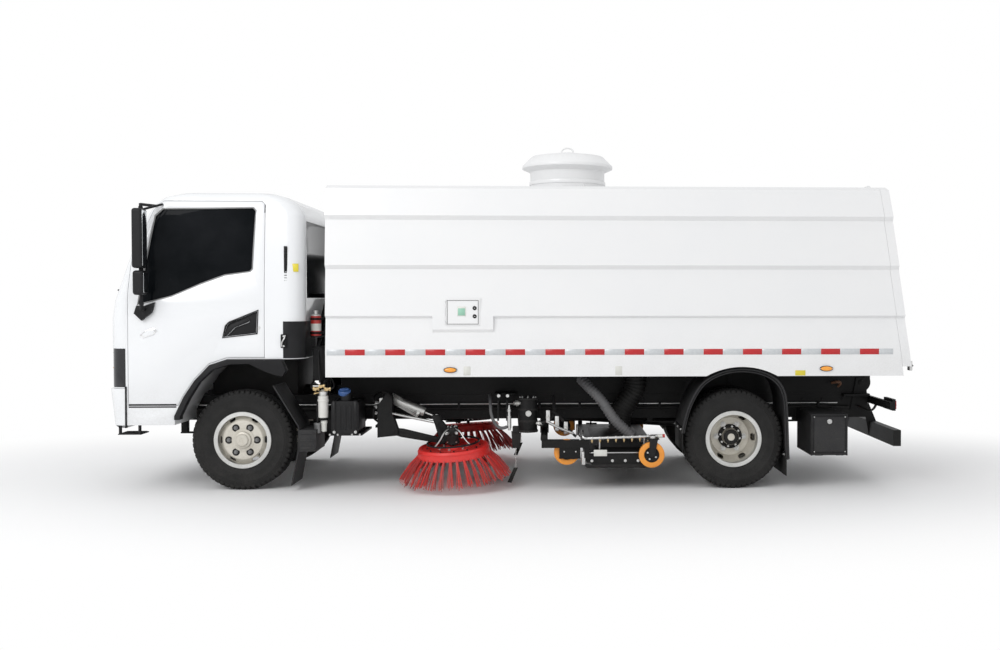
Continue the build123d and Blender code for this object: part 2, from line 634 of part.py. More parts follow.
def make_mirror():
    head = fillet(block(-2792, -2712, -1135, -1015, 1712, 2159).edges(), 22)
    wide = fillet(block(-2790, -2708, -1130, -1012, 1511, 1695).edges(), 24)
    stem = bar((-2752, -1040, 1400), (-2752, -1040, 2200), 12)
    foot = prism_y([(-2832, 1372), (-2812, 1432), (-2752, 1430), (-2680, 1456), (-2700, 1380), (-2776, 1318)],
                   -cab_half_width - 34, -cab_half_width)
    lower = bar((-2752, -1040, 1408), (-2752, -cab_half_width - 20, 1400), 14)
    upper = bar((-2752, -1040, 2192), (-2690, -cab_half_width + 57.5, 2192), 11)
    brace = bar((-2752, -1040, 2150), (-2640, -cab_half_width + 56, 2205), 9)
    return head + wide + stem + foot + lower + upper + brace


def make_bumper():
    outer = cab_form(-bumper_proud)
    zone = block(-3300, bumper_rear_x - 2, -cab_half_width - 50, cab_half_width + 50, 420, bumper_top_z)
    bumper = (outer - cab_inner) & zone
    bumper -= block(-3035, -2800, -cab_half_width + 45, cab_half_width - 45, 400, bumper_top_z - 30)
    sole_z = cab_bottom_z - 1
    low = (bumper_lip_z,) + (cab_levels[0][1] + 22,) + cab_levels[0][2:]
    lip = loft([cab_section(cab_levels[0], -bumper_proud), cab_section(low, 6)], ruled=True)
    core = loft([cab_section(cab_levels[0], 40), cab_section(low, 40)], ruled=True)
    lip = (lip - core) & block(-3300, -2990, -cab_half_width - 50, cab_half_width + 50, 400, sole_z)
    return bumper + lip


def make_cab_trim():
    step = block(-2975, -2800, -940, -770, step_z, step_z + 8)
    for x in (-2968, -2822):
        step += block(x, x + 15, -940, -910, step_z, cab_bottom_z - 1)
    grille = (cab_form(18) - cab_inner) & block(-3300, -3000, -grille_half_width, grille_half_width, 830, 1085)
    for z in (868, 912, 956, 1000, 1044):
        grille -= (cab_outer - cab_form(34)) & block(-3300, -3000, -grille_half_width + 30, grille_half_width - 30,
                                                     z - 13, z + 13)
    outer_edge = [(-2543, 560), (-2543, 590), (-2470, 740), (-2390, 860), (-2278, wheelhouse_z - 44),
                  (-2146, wheelhouse_z), (-1735, wheelhouse_z)]
    inner_edge = [(-1700, 935), (-1728, 890), (-1800, 905), (-1865, 930), (-1980, wheelhouse_z - 35),
                  (-2130, wheelhouse_z - 40), (-2255, wheelhouse_z - 82), (-2355, 845), (-2432, 725), (-2500, 585),
                  (-2500, 560)]
    trim = prism_y(outer_edge + inner_edge, -cab_half_width - 18, -cab_half_width + 60)
    shield = (cab_form(-5) - cab_outer) & block(-1722, -1500, -cab_half_width - 20, -500, wheelhouse_z + 6, 1310)
    return grille, both_sides(trim + shield + step)


def make_headlamps():
    zone = block(-3300, bumper_rear_x - 2, -cab_half_width - 50, -lamp_inner_y - 2, lamp_bottom_z, lamp_top_z)
    return both_sides((cab_form(2) - cab_form(cab_wall_thickness + 25)) & zone)


def make_dashboard():
    foot_z = cab_floor_z + cab_floor_thickness
    desk = prism_y([(-3040, foot_z), (-2900, foot_z), (-2860, 1180), (-2700, 1290), (-2700, 1380), (-2860, 1440),
                    (-2990, 1430)], -880, 880)
    desk = desk & cab_form(cab_wall_thickness + 30)
    column = bar((-2840, -430, 1250), (-2640, -430, 1420), 30)
    wheel = Plane(origin=(-2640, -430, 1420), z_dir=(200, 0, 170)) * Torus(215, 15)
    spoke = Plane(origin=(-2640, -430, 1420), z_dir=(200, 0, 170)) * Box(30, 420, 16)
    return desk + column + wheel + spoke


def make_seats():
    floor_z = wheelhouse_z + cab_floor_thickness
    seats = Part()
    for y_mid, half in ((-450, 270), (420, 360)):
        seats += block(-2380, -1880, y_mid - half, y_mid + half, floor_z, floor_z + 230)
        seats += prism_y([(-1900, floor_z + 180), (-1790, floor_z + 180), (-1700, 1880), (-1810, 1880)],
                         y_mid - half + 15, y_mid + half - 15)
        seats += prism_y([(-1805, 1870), (-1715, 1870), (-1690, 2060), (-1770, 2060)], y_mid - 130, y_mid + 130)
    return seats


# Container

def box_side_profile():
    # left half of the section from the crown down, stepped at each rib
    points = [(0, box_crown_z), (-box_half_width + 120, box_crown_z), (-box_half_width + rib_depth + 6, box_edge_z)]
    for top, bottom in rib_steps:
        points.append((-box_half_width, top))
        points.append((-box_half_width + rib_depth, bottom))
    points.append((-box_half_width + 4, box_skirt_z + 210))
    points.append((-box_half_width + 4, box_skirt_z))
    return points


def box_section(inset):
    left = []
    for y, z in box_side_profile()[:-1]:
        left.append((min(y + inset, 0), z - (inset if z > box_edge_z - 1 else 0)))
    left.append((-box_half_width + 4 + inset, box_floor_z))
    right = [(-y, z) for y, z in reversed(left[1:])]
    return left + right


def rear_slant(offset_x, y_from, y_to):
    lean = (box_rear_bottom_x - box_rear_top_x) / (box_edge_z - box_skirt_z)
    low, high = 300, 2900
    x_low = box_rear_bottom_x + lean * (box_skirt_z - low) + offset_x
    x_high = box_rear_bottom_x - lean * (high - box_skirt_z) + offset_x
    return prism_y([(x_low, low), (x_low + 2000, low), (x_low + 2000, high), (x_high, high)], y_from, y_to)


def welded_panels(body):
    # roof, front wall, side walls, floor and the rails under it, each with its own straight joint line
    roof_z = box_edge_z - box_wall - 3
    front_x = box_front_x + box_wall
    side_y = box_half_width - rib_depth - box_wall - 8
    reach = overall_length
    panels = (
        block(-reach, reach, -reach, reach, roof_z, reach),
        block(-reach, front_x, -reach, reach, 0, roof_z),
        block(front_x, reach, -side_y, side_y, rail_seam_z, roof_z),
        block(front_x, reach, -side_y, side_y, 0, rail_seam_z),
        block(front_x, reach, -reach, -side_y, 0, roof_z),
        block(front_x, reach, side_y, reach, 0, roof_z),
    )
    return Compound([solid for panel in panels for solid in (body & panel).solids()])


def make_container():
    body = prism_x(box_section(0), box_front_x, 3300)
    hollow = prism_x([(y, max(z, box_floor_z + box_floor_thickness)) for y, z in box_section(box_wall)],
                     box_front_x + box_wall, 3400)
    body -= hollow
    skirt_y = -box_half_width + 4
    skirt = block(box_front_x, 3300, skirt_y, skirt_y + 6, box_skirt_z, box_floor_z + 10)
    skirt -= Pos(rear_axle_x + 44, 0, 387) * bar_y(0, 0, skirt_y - 30, skirt_y + 30, 572)
    skirt += block(box_front_x, box_front_x + 6, skirt_y, 0, box_skirt_z, box_floor_z + 10)
    body += both_sides(skirt)
    rail = block(box_front_x, tip_hinge_x, -rail_outer_y + 2, -rail_outer_y + 2 + tip_rail_width,
                 rail_top_z + running_gap, box_floor_z + 5)
    boss = bar_y(tip_hinge_x, tip_hinge_z, -rail_outer_y + 2, -rail_outer_y + 2 + tip_rail_width, 84)
    boss += block(tip_hinge_x - 10, tip_hinge_x + 80, -rail_outer_y + 2, -rail_outer_y + 2 + tip_rail_width,
                  tip_hinge_z, box_floor_z + 5)
    pin = bar_y(tip_hinge_x, tip_hinge_z, -rail_outer_y - 24, -rail_outer_y + 30, 20)
    body += both_sides(rail + boss + pin)
    for x in (-900, -300, 300, 1200, 2400, 2900):
        body += block(x - 25, x + 25, skirt_y, -skirt_y, 900, box_floor_z + 5)
    body -= rear_slant(0, -2000, 2000)
    # lug of the tipping ram and its pin
    lug_x, lug_z = ram_top()
    for y_mid in (-60, 60):
        body += block(lug_x - 34, lug_x + 34, y_mid - 10, y_mid + 10, lug_z - 30, box_floor_z + 5)
    body += bar_y(lug_x, lug_z, -70, 70, 14)
    # flat field round the hatch, its frame and its hinge ears
    body += prism_x([(-box_half_width, 1353), (-box_half_width, 1250), (-box_half_width + 18, 1225),
                     (-box_half_width + box_wall, 1225), (-box_half_width + box_wall, 1353)], -577, -115)
    body -= block(hatch_x0 - 8, hatch_x1 + 8, -box_half_width - 5, -box_half_width + 1, hatch_z0 - 8, hatch_z1 + 8)
    body += block(hatch_x0 - 8, hatch_x1 + 8, -box_half_width + 1, -box_half_width + 40, hatch_z0 - 8, hatch_z1 + 8)
    for z in (1290, 1462):
        body += block(hatch_hinge_x - 5, hatch_hinge_x + 5, hatch_hinge_y - 4, -box_half_width + 5, z, z + 8)
    body += bar((hatch_hinge_x, hatch_hinge_y, 1290), (hatch_hinge_x, hatch_hinge_y, 1470), 2.2)
    # lugs of the tailgate hinges
    for y_mid in (-600, 600):
        lug = prism_y([(tailgate_hinge_x - 110, box_crown_z - 2), (tailgate_hinge_x - 30, box_crown_z - 2),
                       (tailgate_hinge_x, tailgate_hinge_z - 14), (tailgate_hinge_x, tailgate_hinge_z + 18)],
                      y_mid - 20, y_mid + 20)
        lug += bar_y(tailgate_hinge_x, tailgate_hinge_z, y_mid - 20, y_mid + 20, 19)
        lug -= bar_y(tailgate_hinge_x, tailgate_hinge_z, y_mid - 30, y_mid + 30, 8 + running_gap)
        body += lug
    # opening for the outlet on the roof and hatch opening in the left wall
    body -= bar((outlet_x, 0, 2250), (outlet_x, 0, 2500), outlet_neck_radius - 20)
    body -= block(hatch_x0 + 14, hatch_x1 - 14, -box_half_width - 10, -box_half_width + 120,
                  hatch_z0 + 14, hatch_z1 - 14)
    # inlet of the suction duct in the floor
    body -= bar((suction_top_x, -suction_y, 900), (suction_top_x, -suction_y, 1100), suction_bore)
    return welded_panels(body)


def ram_top():
    return (tip_hinge_x - ram_radius * cos(asin(ram_top_rise / ram_radius)), tip_hinge_z + ram_top_rise)


def make_outlet():
    neck = turned_z([(outlet_neck_radius - 8, box_crown_z), (outlet_neck_radius, box_crown_z),
                     (outlet_neck_radius, 2560), (outlet_flange_radius, 2590), (outlet_flange_radius, 2612),
                     (outlet_neck_radius - 10, 2690), (0, 2740), (0, 2732), (outlet_neck_radius - 14, 2682),
                     (outlet_flange_radius - 8, 2606), (outlet_flange_radius - 8, 2596),
                     (outlet_neck_radius - 8, 2566)], outlet_x, 0)
    return neck


def make_hatch():
    lid = block(hatch_x0, hatch_x1, -box_half_width - 4, -box_half_width + 0.7, hatch_z0, hatch_z1)
    for z in (1286, 1458):
        lid -= block(hatch_x0 - 1, hatch_x0 + 6, -box_half_width - 10, -box_half_width + 5, z, z + 16)
    for z in (1310, 1410):
        lid += block(hatch_hinge_x, hatch_x0 + 2, hatch_hinge_y - 2, hatch_hinge_y + 3, z, z + 40)
        lid += bar((hatch_hinge_x, hatch_hinge_y, z), (hatch_hinge_x, hatch_hinge_y, z + 40), 4.4)
        lid -= bar((hatch_hinge_x, hatch_hinge_y, z - 1), (hatch_hinge_x, hatch_hinge_y, z + 41), 2.2 + running_gap)
    return lid


def make_tailgate():
    profile = [(y, z) for y, z in box_section(0)]
    profile = [(y, max(z, box_skirt_z + 4)) for y, z in profile]
    gate = prism_x(profile, 2700, 3400)
    gate = (gate & rear_slant(1.5, -2000, 2000)) - rear_slant(tailgate_thickness, -2000, 2000)
    for y_mid in (-600, 600):
        for y_side in (-33, 33):
            gate += block(tailgate_hinge_x - 14, tailgate_hinge_x + 14, y_mid + y_side - 11, y_mid + y_side + 11,
                          box_crown_z - 2, tailgate_hinge_z)
            gate += bar_y(tailgate_hinge_x, tailgate_hinge_z, y_mid + y_side - 11, y_mid + y_side + 11, 19)
        gate += bar_y(tailgate_hinge_x, tailgate_hinge_z, y_mid - 40, y_mid + 40, 8)
    return gate


def make_tip_ram():
    low = Vector(ram_low[0], 0, ram_low[1])
    top = Vector(ram_top()[0], 0, ram_top()[1])
    line = (top - low).normalized()
    length = (top - low).length
    place = Plane(origin=low, z_dir=line)

    def sleeve(outer, inner, start, end):
        ring = Cylinder(outer, end - start, align=(Align.CENTER, Align.CENTER, Align.MIN))
        ring = ring - Cylinder(inner, end - start, align=(Align.CENTER, Align.CENTER, Align.MIN))
        return place * Pos(0, 0, start) * ring

    barrel = sleeve(80, 68 + running_gap, 40, length - 60)
    barrel += place * Pos(0, 0, 30) * Cylinder(80, 14, align=(Align.CENTER, Align.CENTER, Align.MIN))
    barrel += bar((low + line * 0), (low + line * 35), 28)
    barrel += bar_y(low.X, low.Z, -90, 90, 34)
    barrel -= bar_y(low.X, low.Z, -95, 95, 20 + running_gap)
    stage_1 = sleeve(68, 54 + running_gap, 50, length - 60)
    stage_2 = place * Pos(0, 0, 55) * Cylinder(54, length - 105, align=(Align.CENTER, Align.CENTER, Align.MIN))
    stage_2 += bar((top - line * 52), top, 26)
    stage_2 += bar_y(top.X, top.Z, -45, 45, 38)
    stage_2 -= bar_y(top.X, top.Z, -60, 60, 14 + 14)
    return barrel, stage_1, stage_2


# Guards, tanks and equipment along the frame


def make_guards():
    arch = Plane.XZ.offset(480) * Polygon(*fender_outline, align=None)
    inner = offset(arch, -6, kind=Kind.INTERSECTION)
    sheet = extrude(arch, 525, dir=(0, -1, 0)) - extrude(inner, 525, dir=(0, -1, 0))
    sheet -= block(1300, 1750, -1100, 0, 50, 441)
    sheet -= block(1750, 2200, -1100, 0, 50, 232)
    post = block(1780, 1820, -rail_outer_y - 12, -rail_outer_y, 600, 938)
    post += block(1780, 1820, -480, -rail_outer_y, 928, 938)
    front = prism_y([(-1810, 815), (-1618, 497), (-1622, 320), (-1614, 320), (-1610, 500), (-1802, 819)], -930, -560)
    shoe = block(-1610, -1482, -930, -600, 309, 474)
    stay = block(-1560, -1530, -600, -rail_outer_y, 440, 470)
    stay += block(-1560, -1530, -rail_outer_y - 10, -rail_outer_y, 440, 560)
    flap = prism_y([(-1622, 322), (-1614, 322), (-1668, 45), (-1676, 45)], -925, -570)
    return both_sides(sheet + post + front + shoe + stay + flap)


def make_tool_box():
    case = block(2364, 2657, -900, -420, 253, 578) - block(2370, 2651, -905, -426, 259, 572)
    hanger = block(2400, 2620, -424, -rail_outer_y, 520, 600)
    for x in (2366, 2645):
        case += block(x, x + 8, tool_hinge_y - 3, -900, tool_hinge_z - 5, tool_hinge_z + 5)
    case += bar((2366, tool_hinge_y, tool_hinge_z), (2653, tool_hinge_y, tool_hinge_z), 2.5)
    return case + hanger


def make_tool_door():
    door = block(2368, 2653, tool_hinge_y, -902, tool_hinge_z + 6, 574)
    for x in (2395, 2560):
        door += block(x, x + 60, tool_hinge_y, tool_hinge_y + 5, tool_hinge_z, tool_hinge_z + 8)
        door += bar((x, tool_hinge_y, tool_hinge_z), (x + 60, tool_hinge_y, tool_hinge_z), 5)
        door -= bar((x - 1, tool_hinge_y, tool_hinge_z), (x + 61, tool_hinge_y, tool_hinge_z), 2.5 + running_gap)
    return door


def make_side_tanks():
    left = block(-1375, -1165, -880, -560, 440, 690)
    left = fillet(left.edges().filter_by(Axis.Y), 24)
    cap = bar((-1270, -820, 688), (-1270, -850, 760), 42)
    shelf = block(-1400, -1140, -880, -rail_outer_y, 424, 440)
    right = block(-1440, -1120, 520, 880, 440, 700)
    right = fillet(right.edges().filter_by(Axis.Y), 50)
    right_shelf = block(-1400, -1140, rail_outer_y, 880, 424, 440)
    hangers = both_sides(block(-1290, -1250, -rail_outer_y - 12, -rail_outer_y, 424, 640))
    return left + cap + shelf + right + right_shelf + hangers


def make_rack():
    rack = Part()
    for side in (-1, 1):
        rack += block(-1515, -1475, *sorted((side * 360, side * 399)), rail_top_z, 1500)
    rack += block(-1515, -1475, -399, 399, 1440, 1500)
    cooler = block(-1532, -1464, -760, -399, 843, 1111)
    bottle = bar((-1526, -700, 1193), (-1526, -700, 1349), 40)
    shelf = block(-1560, -1475, -740, -399, 1180, 1193)
    strainer = bar((-1441, -850, 543), (-1441, -850, 729), 37)
    arm = block(-1455, -1427, -850, -rail_outer_y, 600, 628)
    pump = bar((140, -740, 436), (140, -740, 698), 75)
    pump_arm = block(120, 160, -740, -rail_outer_y, 560, 600)
    return rack + cooler + bottle + shelf + strainer + arm + pump + pump_arm


def make_wash_bar():
    tube = bar((604, -nozzle_half_width - 25, 404), (1186, -nozzle_half_width - 25, 420), 11)
    for x in (700, 1050):
        z = 404 + 16 * (x - 604) / 582
        tube += bar((x, -nozzle_half_width - 25, z), (x, -nozzle_half_width + 15, z), 8)
        tube += bar((x, -nozzle_half_width + 15, z + 8), (x, -nozzle_half_width + 15, 300), 8)
    return both_sides(tube)


def make_suction_hose():
    route = [(880, -suction_y, 420), (880, -suction_y, 560), (suction_top_x, -suction_y, 760),
             (suction_top_x, -suction_y, box_floor_z - 1)]
    path = FilletPolyline(*route, radius=hose_bend)
    start = Plane(origin=path @ 0, z_dir=path % 0)
    hose = sweep(start * Circle(suction_bore + 6), path=path)
    bore = sweep(start * Circle(suction_bore), path=path)
    for index in range(1, hose_ribs):
        share = index / hose_ribs
        rib = Plane(origin=path @ share, z_dir=path % share)
        hose += rib * Cylinder(suction_bore + 16, hose_rib_width)
    return hose - bore


def make_rear_guard():
    guard = block(2990, 3050, -1000, 1000, 335, 460)
    hanger = prism_y([(rail_rear_x, 640), (rail_rear_x + 15, 640), (3050, 460), (3050, 335), (2990, 335),
                      (rail_rear_x, 500)], -342, -330)
    lamp_bar = block(rail_rear_x, rail_rear_x + 25, -1000, -342, 620, 680)
    lamp = block(rail_rear_x + 25, rail_rear_x + 50, -990, -760, 610, 700)
    return guard + both_sides(hanger + lamp_bar + lamp)


# Every piece in its own file

front_tyre, front_rim, rear_tyres, rear_rims = make_wheels()
ram_barrel, ram_rod = make_brush_ram()
tip_barrel, tip_stage_1, tip_stage_2 = make_tip_ram()
grille, arch_trim = make_cab_trim()

nodes["frame"] = make_frame()
nodes["running_gear"] = make_running_gear()
nodes["powertrain"] = make_powertrain()
nodes["guards"] = make_guards()
nodes["side_tanks"] = make_side_tanks()
nodes["equipment_rack"] = make_rack()
nodes["tool_box"] = make_tool_box()
nodes["tool_box_door"] = make_tool_door()
nodes["suction_nozzle"] = make_nozzle()
nodes["suction_hose"] = make_suction_hose()
nodes["wash_bar"] = make_wash_bar()
nodes["rear_guard"] = make_rear_guard()
nodes["cab_shell"] = make_cab_shell()
nodes["cab_glass"] = make_cab_glass()
nodes["bumper"] = make_bumper()
nodes["cab_trim"] = grille + arch_trim
nodes["headlamps"] = make_headlamps()
nodes["dashboard"] = make_dashboard()
nodes["seats"] = make_seats()
nodes["container"] = make_container()
nodes["roof_outlet"] = make_outlet()
nodes["hatch"] = make_hatch()
nodes["tailgate"] = make_tailgate()
nodes["tip_barrel"] = tip_barrel
nodes["tip_stage_1"] = tip_stage_1
nodes["tip_stage_2"] = tip_stage_2

left_pieces = {
    "knuckle": make_knuckle(),
    "front_tyre": front_tyre,
    "front_rim": front_rim,
    "rear_tyres": rear_tyres,
    "rear_rims": rear_rims,
    "door": make_door(),
    "door_glass": make_door_glass(),
    "mirror": make_mirror(),
    "brush_turret": make_turret(),
    "brush_arm": make_brush_arm(),
    "brush_rod": make_brush_rod(),
    "brush_head": make_brush_head(),
    "brush": make_brush(),
    "brush_ram": ram_barrel,
    "brush_ram_rod": ram_rod,
    "front_castor": make_castor(front_castor_x, front_castor_z, -nozzle_half_width + 36),
    "rear_castor": make_castor(rear_castor_x, rear_castor_z, -nozzle_half_width - 32),
}
for name, piece in left_pieces.items():
    nodes[name + "_left"] = piece
    nodes[name + "_right"] = other_side(piece)

os.makedirs("parts", exist_ok=True)
for name, piece in nodes.items():
    export_step(piece, "parts/" + name + ".step")
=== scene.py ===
import json
import math
import random

import bpy
from mathutils import Matrix, Vector


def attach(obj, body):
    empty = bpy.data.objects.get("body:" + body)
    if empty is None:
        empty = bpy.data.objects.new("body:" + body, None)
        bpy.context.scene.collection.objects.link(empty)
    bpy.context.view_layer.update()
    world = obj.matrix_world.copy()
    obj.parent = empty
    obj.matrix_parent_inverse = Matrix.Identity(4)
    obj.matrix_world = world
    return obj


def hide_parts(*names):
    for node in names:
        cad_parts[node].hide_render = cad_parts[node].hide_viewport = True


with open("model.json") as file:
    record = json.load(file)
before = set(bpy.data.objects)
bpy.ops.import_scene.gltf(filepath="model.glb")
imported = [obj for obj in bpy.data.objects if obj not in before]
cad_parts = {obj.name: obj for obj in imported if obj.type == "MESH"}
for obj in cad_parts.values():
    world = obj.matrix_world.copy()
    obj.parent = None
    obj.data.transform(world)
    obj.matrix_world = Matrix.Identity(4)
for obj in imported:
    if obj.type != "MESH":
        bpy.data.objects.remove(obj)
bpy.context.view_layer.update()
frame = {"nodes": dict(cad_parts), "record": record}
nodes = frame["nodes"]
bodyOf = {node: body for body, members in frame["record"]["behaviour"]["bodies"].items() for node in members}
sides = ("left", "right")
axisVectors = {"x": Vector((1, 0, 0)), "y": Vector((0, 1, 0)), "z": Vector((0, 0, 1))}
axisTurns = {"x": (0, math.pi / 2, 0), "y": (math.pi / 2, 0, 0), "z": (0, 0, 0)}


# Selecting and finishing

def clearSelection():
    if bpy.context.object and bpy.context.object.mode != "OBJECT":
        bpy.ops.object.mode_set(mode="OBJECT")
    bpy.ops.object.select_all(action="DESELECT")


def makeActive(piece):
    clearSelection()
    piece.select_set(True)
    bpy.context.view_layer.objects.active = piece


def smoothPiece(piece, angle=35):
    makeActive(piece)
    bpy.ops.object.shade_smooth_by_angle(angle=math.radians(angle))


def addBevel(piece, width, segments=2, angle=35):
    rounding = piece.modifiers.new("rounding", "BEVEL")
    rounding.width = width
    rounding.segments = segments
    rounding.limit_method = "ANGLE"
    rounding.angle_limit = math.radians(angle)
    rounding.harden_normals = False
    makeActive(piece)
    bpy.ops.object.modifier_apply(modifier=rounding.name)


def flattenPanels(piece, area):
    # wide faces are shaded flat, and only the narrow roundings between them blend
    for face in piece.data.polygons:
        if face.area > area:
            face.use_smooth = False


def mergePieces(pieces):
    clearSelection()
    for piece in pieces:
        piece.select_set(True)
    bpy.context.view_layer.objects.active = pieces[0]
    if len(pieces) > 1:
        bpy.ops.object.join()
    return pieces[0]


def joinPieces(pieces, name, body):
    piece = mergePieces(pieces)
    piece.name = piece.data.name = name
    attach(piece, body)
    return piece


# Modelling moves

def turnPiece(profile, centre, axis="y", segments=48, closed=False, capEnds=True, finish=None, smooth=None):
    # profile: (place along the axis, radius) from the first ring to the last
    along = axisVectors[axis]
    centre = Vector(centre)
    start = centre + along * profile[0][0]
    clearSelection()
    bpy.ops.mesh.primitive_circle_add(vertices=segments, radius=max(profile[0][1], 1e-4), location=start,
        rotation=axisTurns[axis])
    piece = bpy.context.object
    bpy.ops.object.transform_apply(location=True, rotation=True, scale=True)
    bpy.ops.object.mode_set(mode="EDIT")
    bpy.ops.mesh.select_mode(type="EDGE")
    bpy.ops.mesh.select_all(action="SELECT")
    for (placeBefore, radiusBefore), (place, radius) in zip(profile, profile[1:]):
        bpy.ops.mesh.extrude_region_move(TRANSFORM_OT_translate={"value": along * (place - placeBefore)})
        factor = max(radius, 1e-4) / max(radiusBefore, 1e-4)
        growth = [1 if along[i] else factor for i in range(3)]
        bpy.ops.transform.resize(value=growth, center_override=centre + along * place)
    bpy.ops.mesh.select_all(action="DESELECT")
    bpy.ops.mesh.select_non_manifold()
    if closed:
        bpy.ops.mesh.bridge_edge_loops()
    elif capEnds:
        bpy.ops.mesh.fill_holes(sides=0)
    bpy.ops.mesh.select_all(action="SELECT")
    bpy.ops.mesh.remove_doubles(threshold=0.00001)
    bpy.ops.mesh.normals_make_consistent(inside=False)
    bpy.ops.object.mode_set(mode="OBJECT")
    if finish:
        paintWith(piece, finish)
    if smooth:
        smoothPiece(piece, smooth)
    return piece


def boxPiece(low, high, rounding=0.003, segments=2, finish=None):
    low, high = Vector(low), Vector(high)
    clearSelection()
    bpy.ops.mesh.primitive_cube_add(size=1, location=(low + high) / 2)
    piece = bpy.context.object
    piece.scale = high - low
    bpy.ops.object.transform_apply(location=True, rotation=True, scale=True)
    bpy.ops.object.mode_set(mode="EDIT")
    bpy.ops.mesh.select_all(action="SELECT")
    bpy.ops.mesh.bevel(offset=rounding, segments=segments, affect="EDGES")
    bpy.ops.object.mode_set(mode="OBJECT")
    if finish:
        paintWith(piece, finish)
    smoothPiece(piece, 50)
    return piece


def platePiece(outline, axis, low, high, rounding=0.002, finish=None, segments=2):
    # outline: points in the plane across the axis (x,z for y; y,z for x; x,y for z)
    clearSelection()
    bpy.ops.mesh.primitive_circle_add(vertices=len(outline), radius=1, fill_type="NGON", location=(0, 0, 0))
    piece = bpy.context.object
    for vertex, (u, v) in zip(piece.data.vertices, outline):
        vertex.co = {"x": (low, u, v), "y": (u, low, v), "z": (u, v, low)}[axis]
    bpy.ops.object.mode_set(mode="EDIT")
    bpy.ops.mesh.select_all(action="SELECT")
    bpy.ops.mesh.extrude_region_move(TRANSFORM_OT_translate={"value": axisVectors[axis] * (high - low)})
    bpy.ops.mesh.select_all(action="SELECT")
    bpy.ops.mesh.normals_make_consistent(inside=False)
    bpy.ops.object.mode_set(mode="OBJECT")
    if rounding:
        addBevel(piece, rounding, segments, 30)
    if finish:
        paintWith(piece, finish)
    smoothPiece(piece, 40)
    return piece


def tubePiece(points, radius, finish=None, smooth=True, ring=10, steps=6, closed=False):
    clearSelection()
    bpy.ops.curve.primitive_nurbs_path_add(location=(0, 0, 0))
    curve = bpy.context.object
    data = curve.data
    data.splines.clear()
    spline = data.splines.new("NURBS" if smooth else "POLY")
    spline.points.add(len(points) - 1)
    for point, place in zip(spline.points, points):
        point.co = (*place, 1)
    if smooth:
        spline.order_u = 3
        spline.use_endpoint_u = True
        spline.resolution_u = steps
    spline.use_cyclic_u = closed
    data.dimensions = "3D"
    data.bevel_depth = radius
    data.bevel_resolution = max(1, ring // 2 - 1)
    data.use_fill_caps = True
    bpy.ops.object.convert(target="MESH")
    piece = bpy.context.object
    if finish:
        paintWith(piece, finish)
    smoothPiece(piece, 60)
    return piece


def paintWith(piece, finish):
    piece.data.materials.clear()
    piece.data.materials.append(finishes[finish])
    return piece


def leanTo(direction):
    # the turn that lays the z axis along direction
    return Vector((0, 0, 1)).rotation_difference(Vector(direction)).to_matrix().to_4x4()


def copyPiece(piece, move=(0, 0, 0), turn=0, about=(0, 0, 0), axis="y"):
    clearSelection()
    twin = bpy.data.objects.new(piece.name + "_copy", piece.data.copy())
    bpy.context.scene.collection.objects.link(twin)
    if turn:
        swing = Matrix.Rotation(turn, 4, axisVectors[axis])
        place = Matrix.Translation(Vector(about))
        twin.data.transform(place @ swing @ place.inverted())
    twin.data.transform(Matrix.Translation(Vector(move)))
    return twin


# Shader groups

def openGroup(name, inputs, outputs):
    group = bpy.data.node_groups.new(name, "ShaderNodeTree")
    for label, kind, value in inputs:
        socket = group.interface.new_socket(label, in_out="INPUT", socket_type="NodeSocket" + kind)
        if value is not None:
            socket.default_value = value
    for label, kind in outputs:
        group.interface.new_socket(label, in_out="OUTPUT", socket_type="NodeSocket" + kind)
    return group, group.nodes.new("NodeGroupInput").outputs, group.nodes.new("NodeGroupOutput").inputs


def addNode(tree, kind, inputs=None, **settings):
    node = tree.nodes.new("ShaderNode" + kind)
    for label, value in settings.items():
        setattr(node, label, value)
    for label, value in (inputs or {}).items():
        if isinstance(value, bpy.types.NodeSocket):
            tree.links.new(value, node.inputs[label])
        else:
            node.inputs[label].default_value = value
    return node


def makeGrimeGroup():
    # road dust that thickens towards the ground, in drifting patches
    group, given, out = openGroup("roadGrime", (("Vector", "Vector", None), ("Color", "Color", (0.8, 0.8, 0.8, 1)),
        ("Dust Color", "Color", (0.2, 0.18, 0.15, 1)), ("Low", "Float", 0.0), ("High", "Float", 1.2),
        ("Amount", "Float", 0.4), ("Clean Roughness", "Float", 0.3), ("Dusty Roughness", "Float", 0.8)),
        (("Color", "Color"), ("Roughness", "Float"), ("Mask", "Float")))
    height = addNode(group, "SeparateXYZ", {"Vector": given["Vector"]})
    fall = addNode(group, "MapRange", {"Value": height.outputs["Z"], "From Min": given["Low"],
        "From Max": given["High"], "To Min": 1.0, "To Max": 0.0})
    patches = addNode(group, "TexNoise", {"Vector": given["Vector"], "Scale": 7.0, "Detail": 6.0, "Roughness": 0.65})
    specks = addNode(group, "TexNoise", {"Vector": given["Vector"], "Scale": 90.0, "Detail": 3.0})
    blend = addNode(group, "Math", {0: patches.outputs["Fac"], 1: specks.outputs["Fac"]}, operation="MULTIPLY")
    spread = addNode(group, "MapRange", {"Value": blend.outputs[0], "From Min": 0.12, "From Max": 0.42})
    drift = addNode(group, "Math", {0: fall.outputs[0], 1: spread.outputs[0]}, operation="MULTIPLY")
    mask = addNode(group, "Math", {0: drift.outputs[0], 1: given["Amount"]}, operation="MULTIPLY", use_clamp=True)
    colour = addNode(group, "Mix", {"Factor": mask.outputs[0], "A": given["Color"], "B": given["Dust Color"]},
        data_type="RGBA")
    rough = addNode(group, "Mix", {"Factor": mask.outputs[0], "A": given["Clean Roughness"],
        "B": given["Dusty Roughness"]})
    group.links.new(colour.outputs["Result"], out["Color"])
    group.links.new(rough.outputs["Result"], out["Roughness"])
    group.links.new(mask.outputs[0], out["Mask"])
    return group


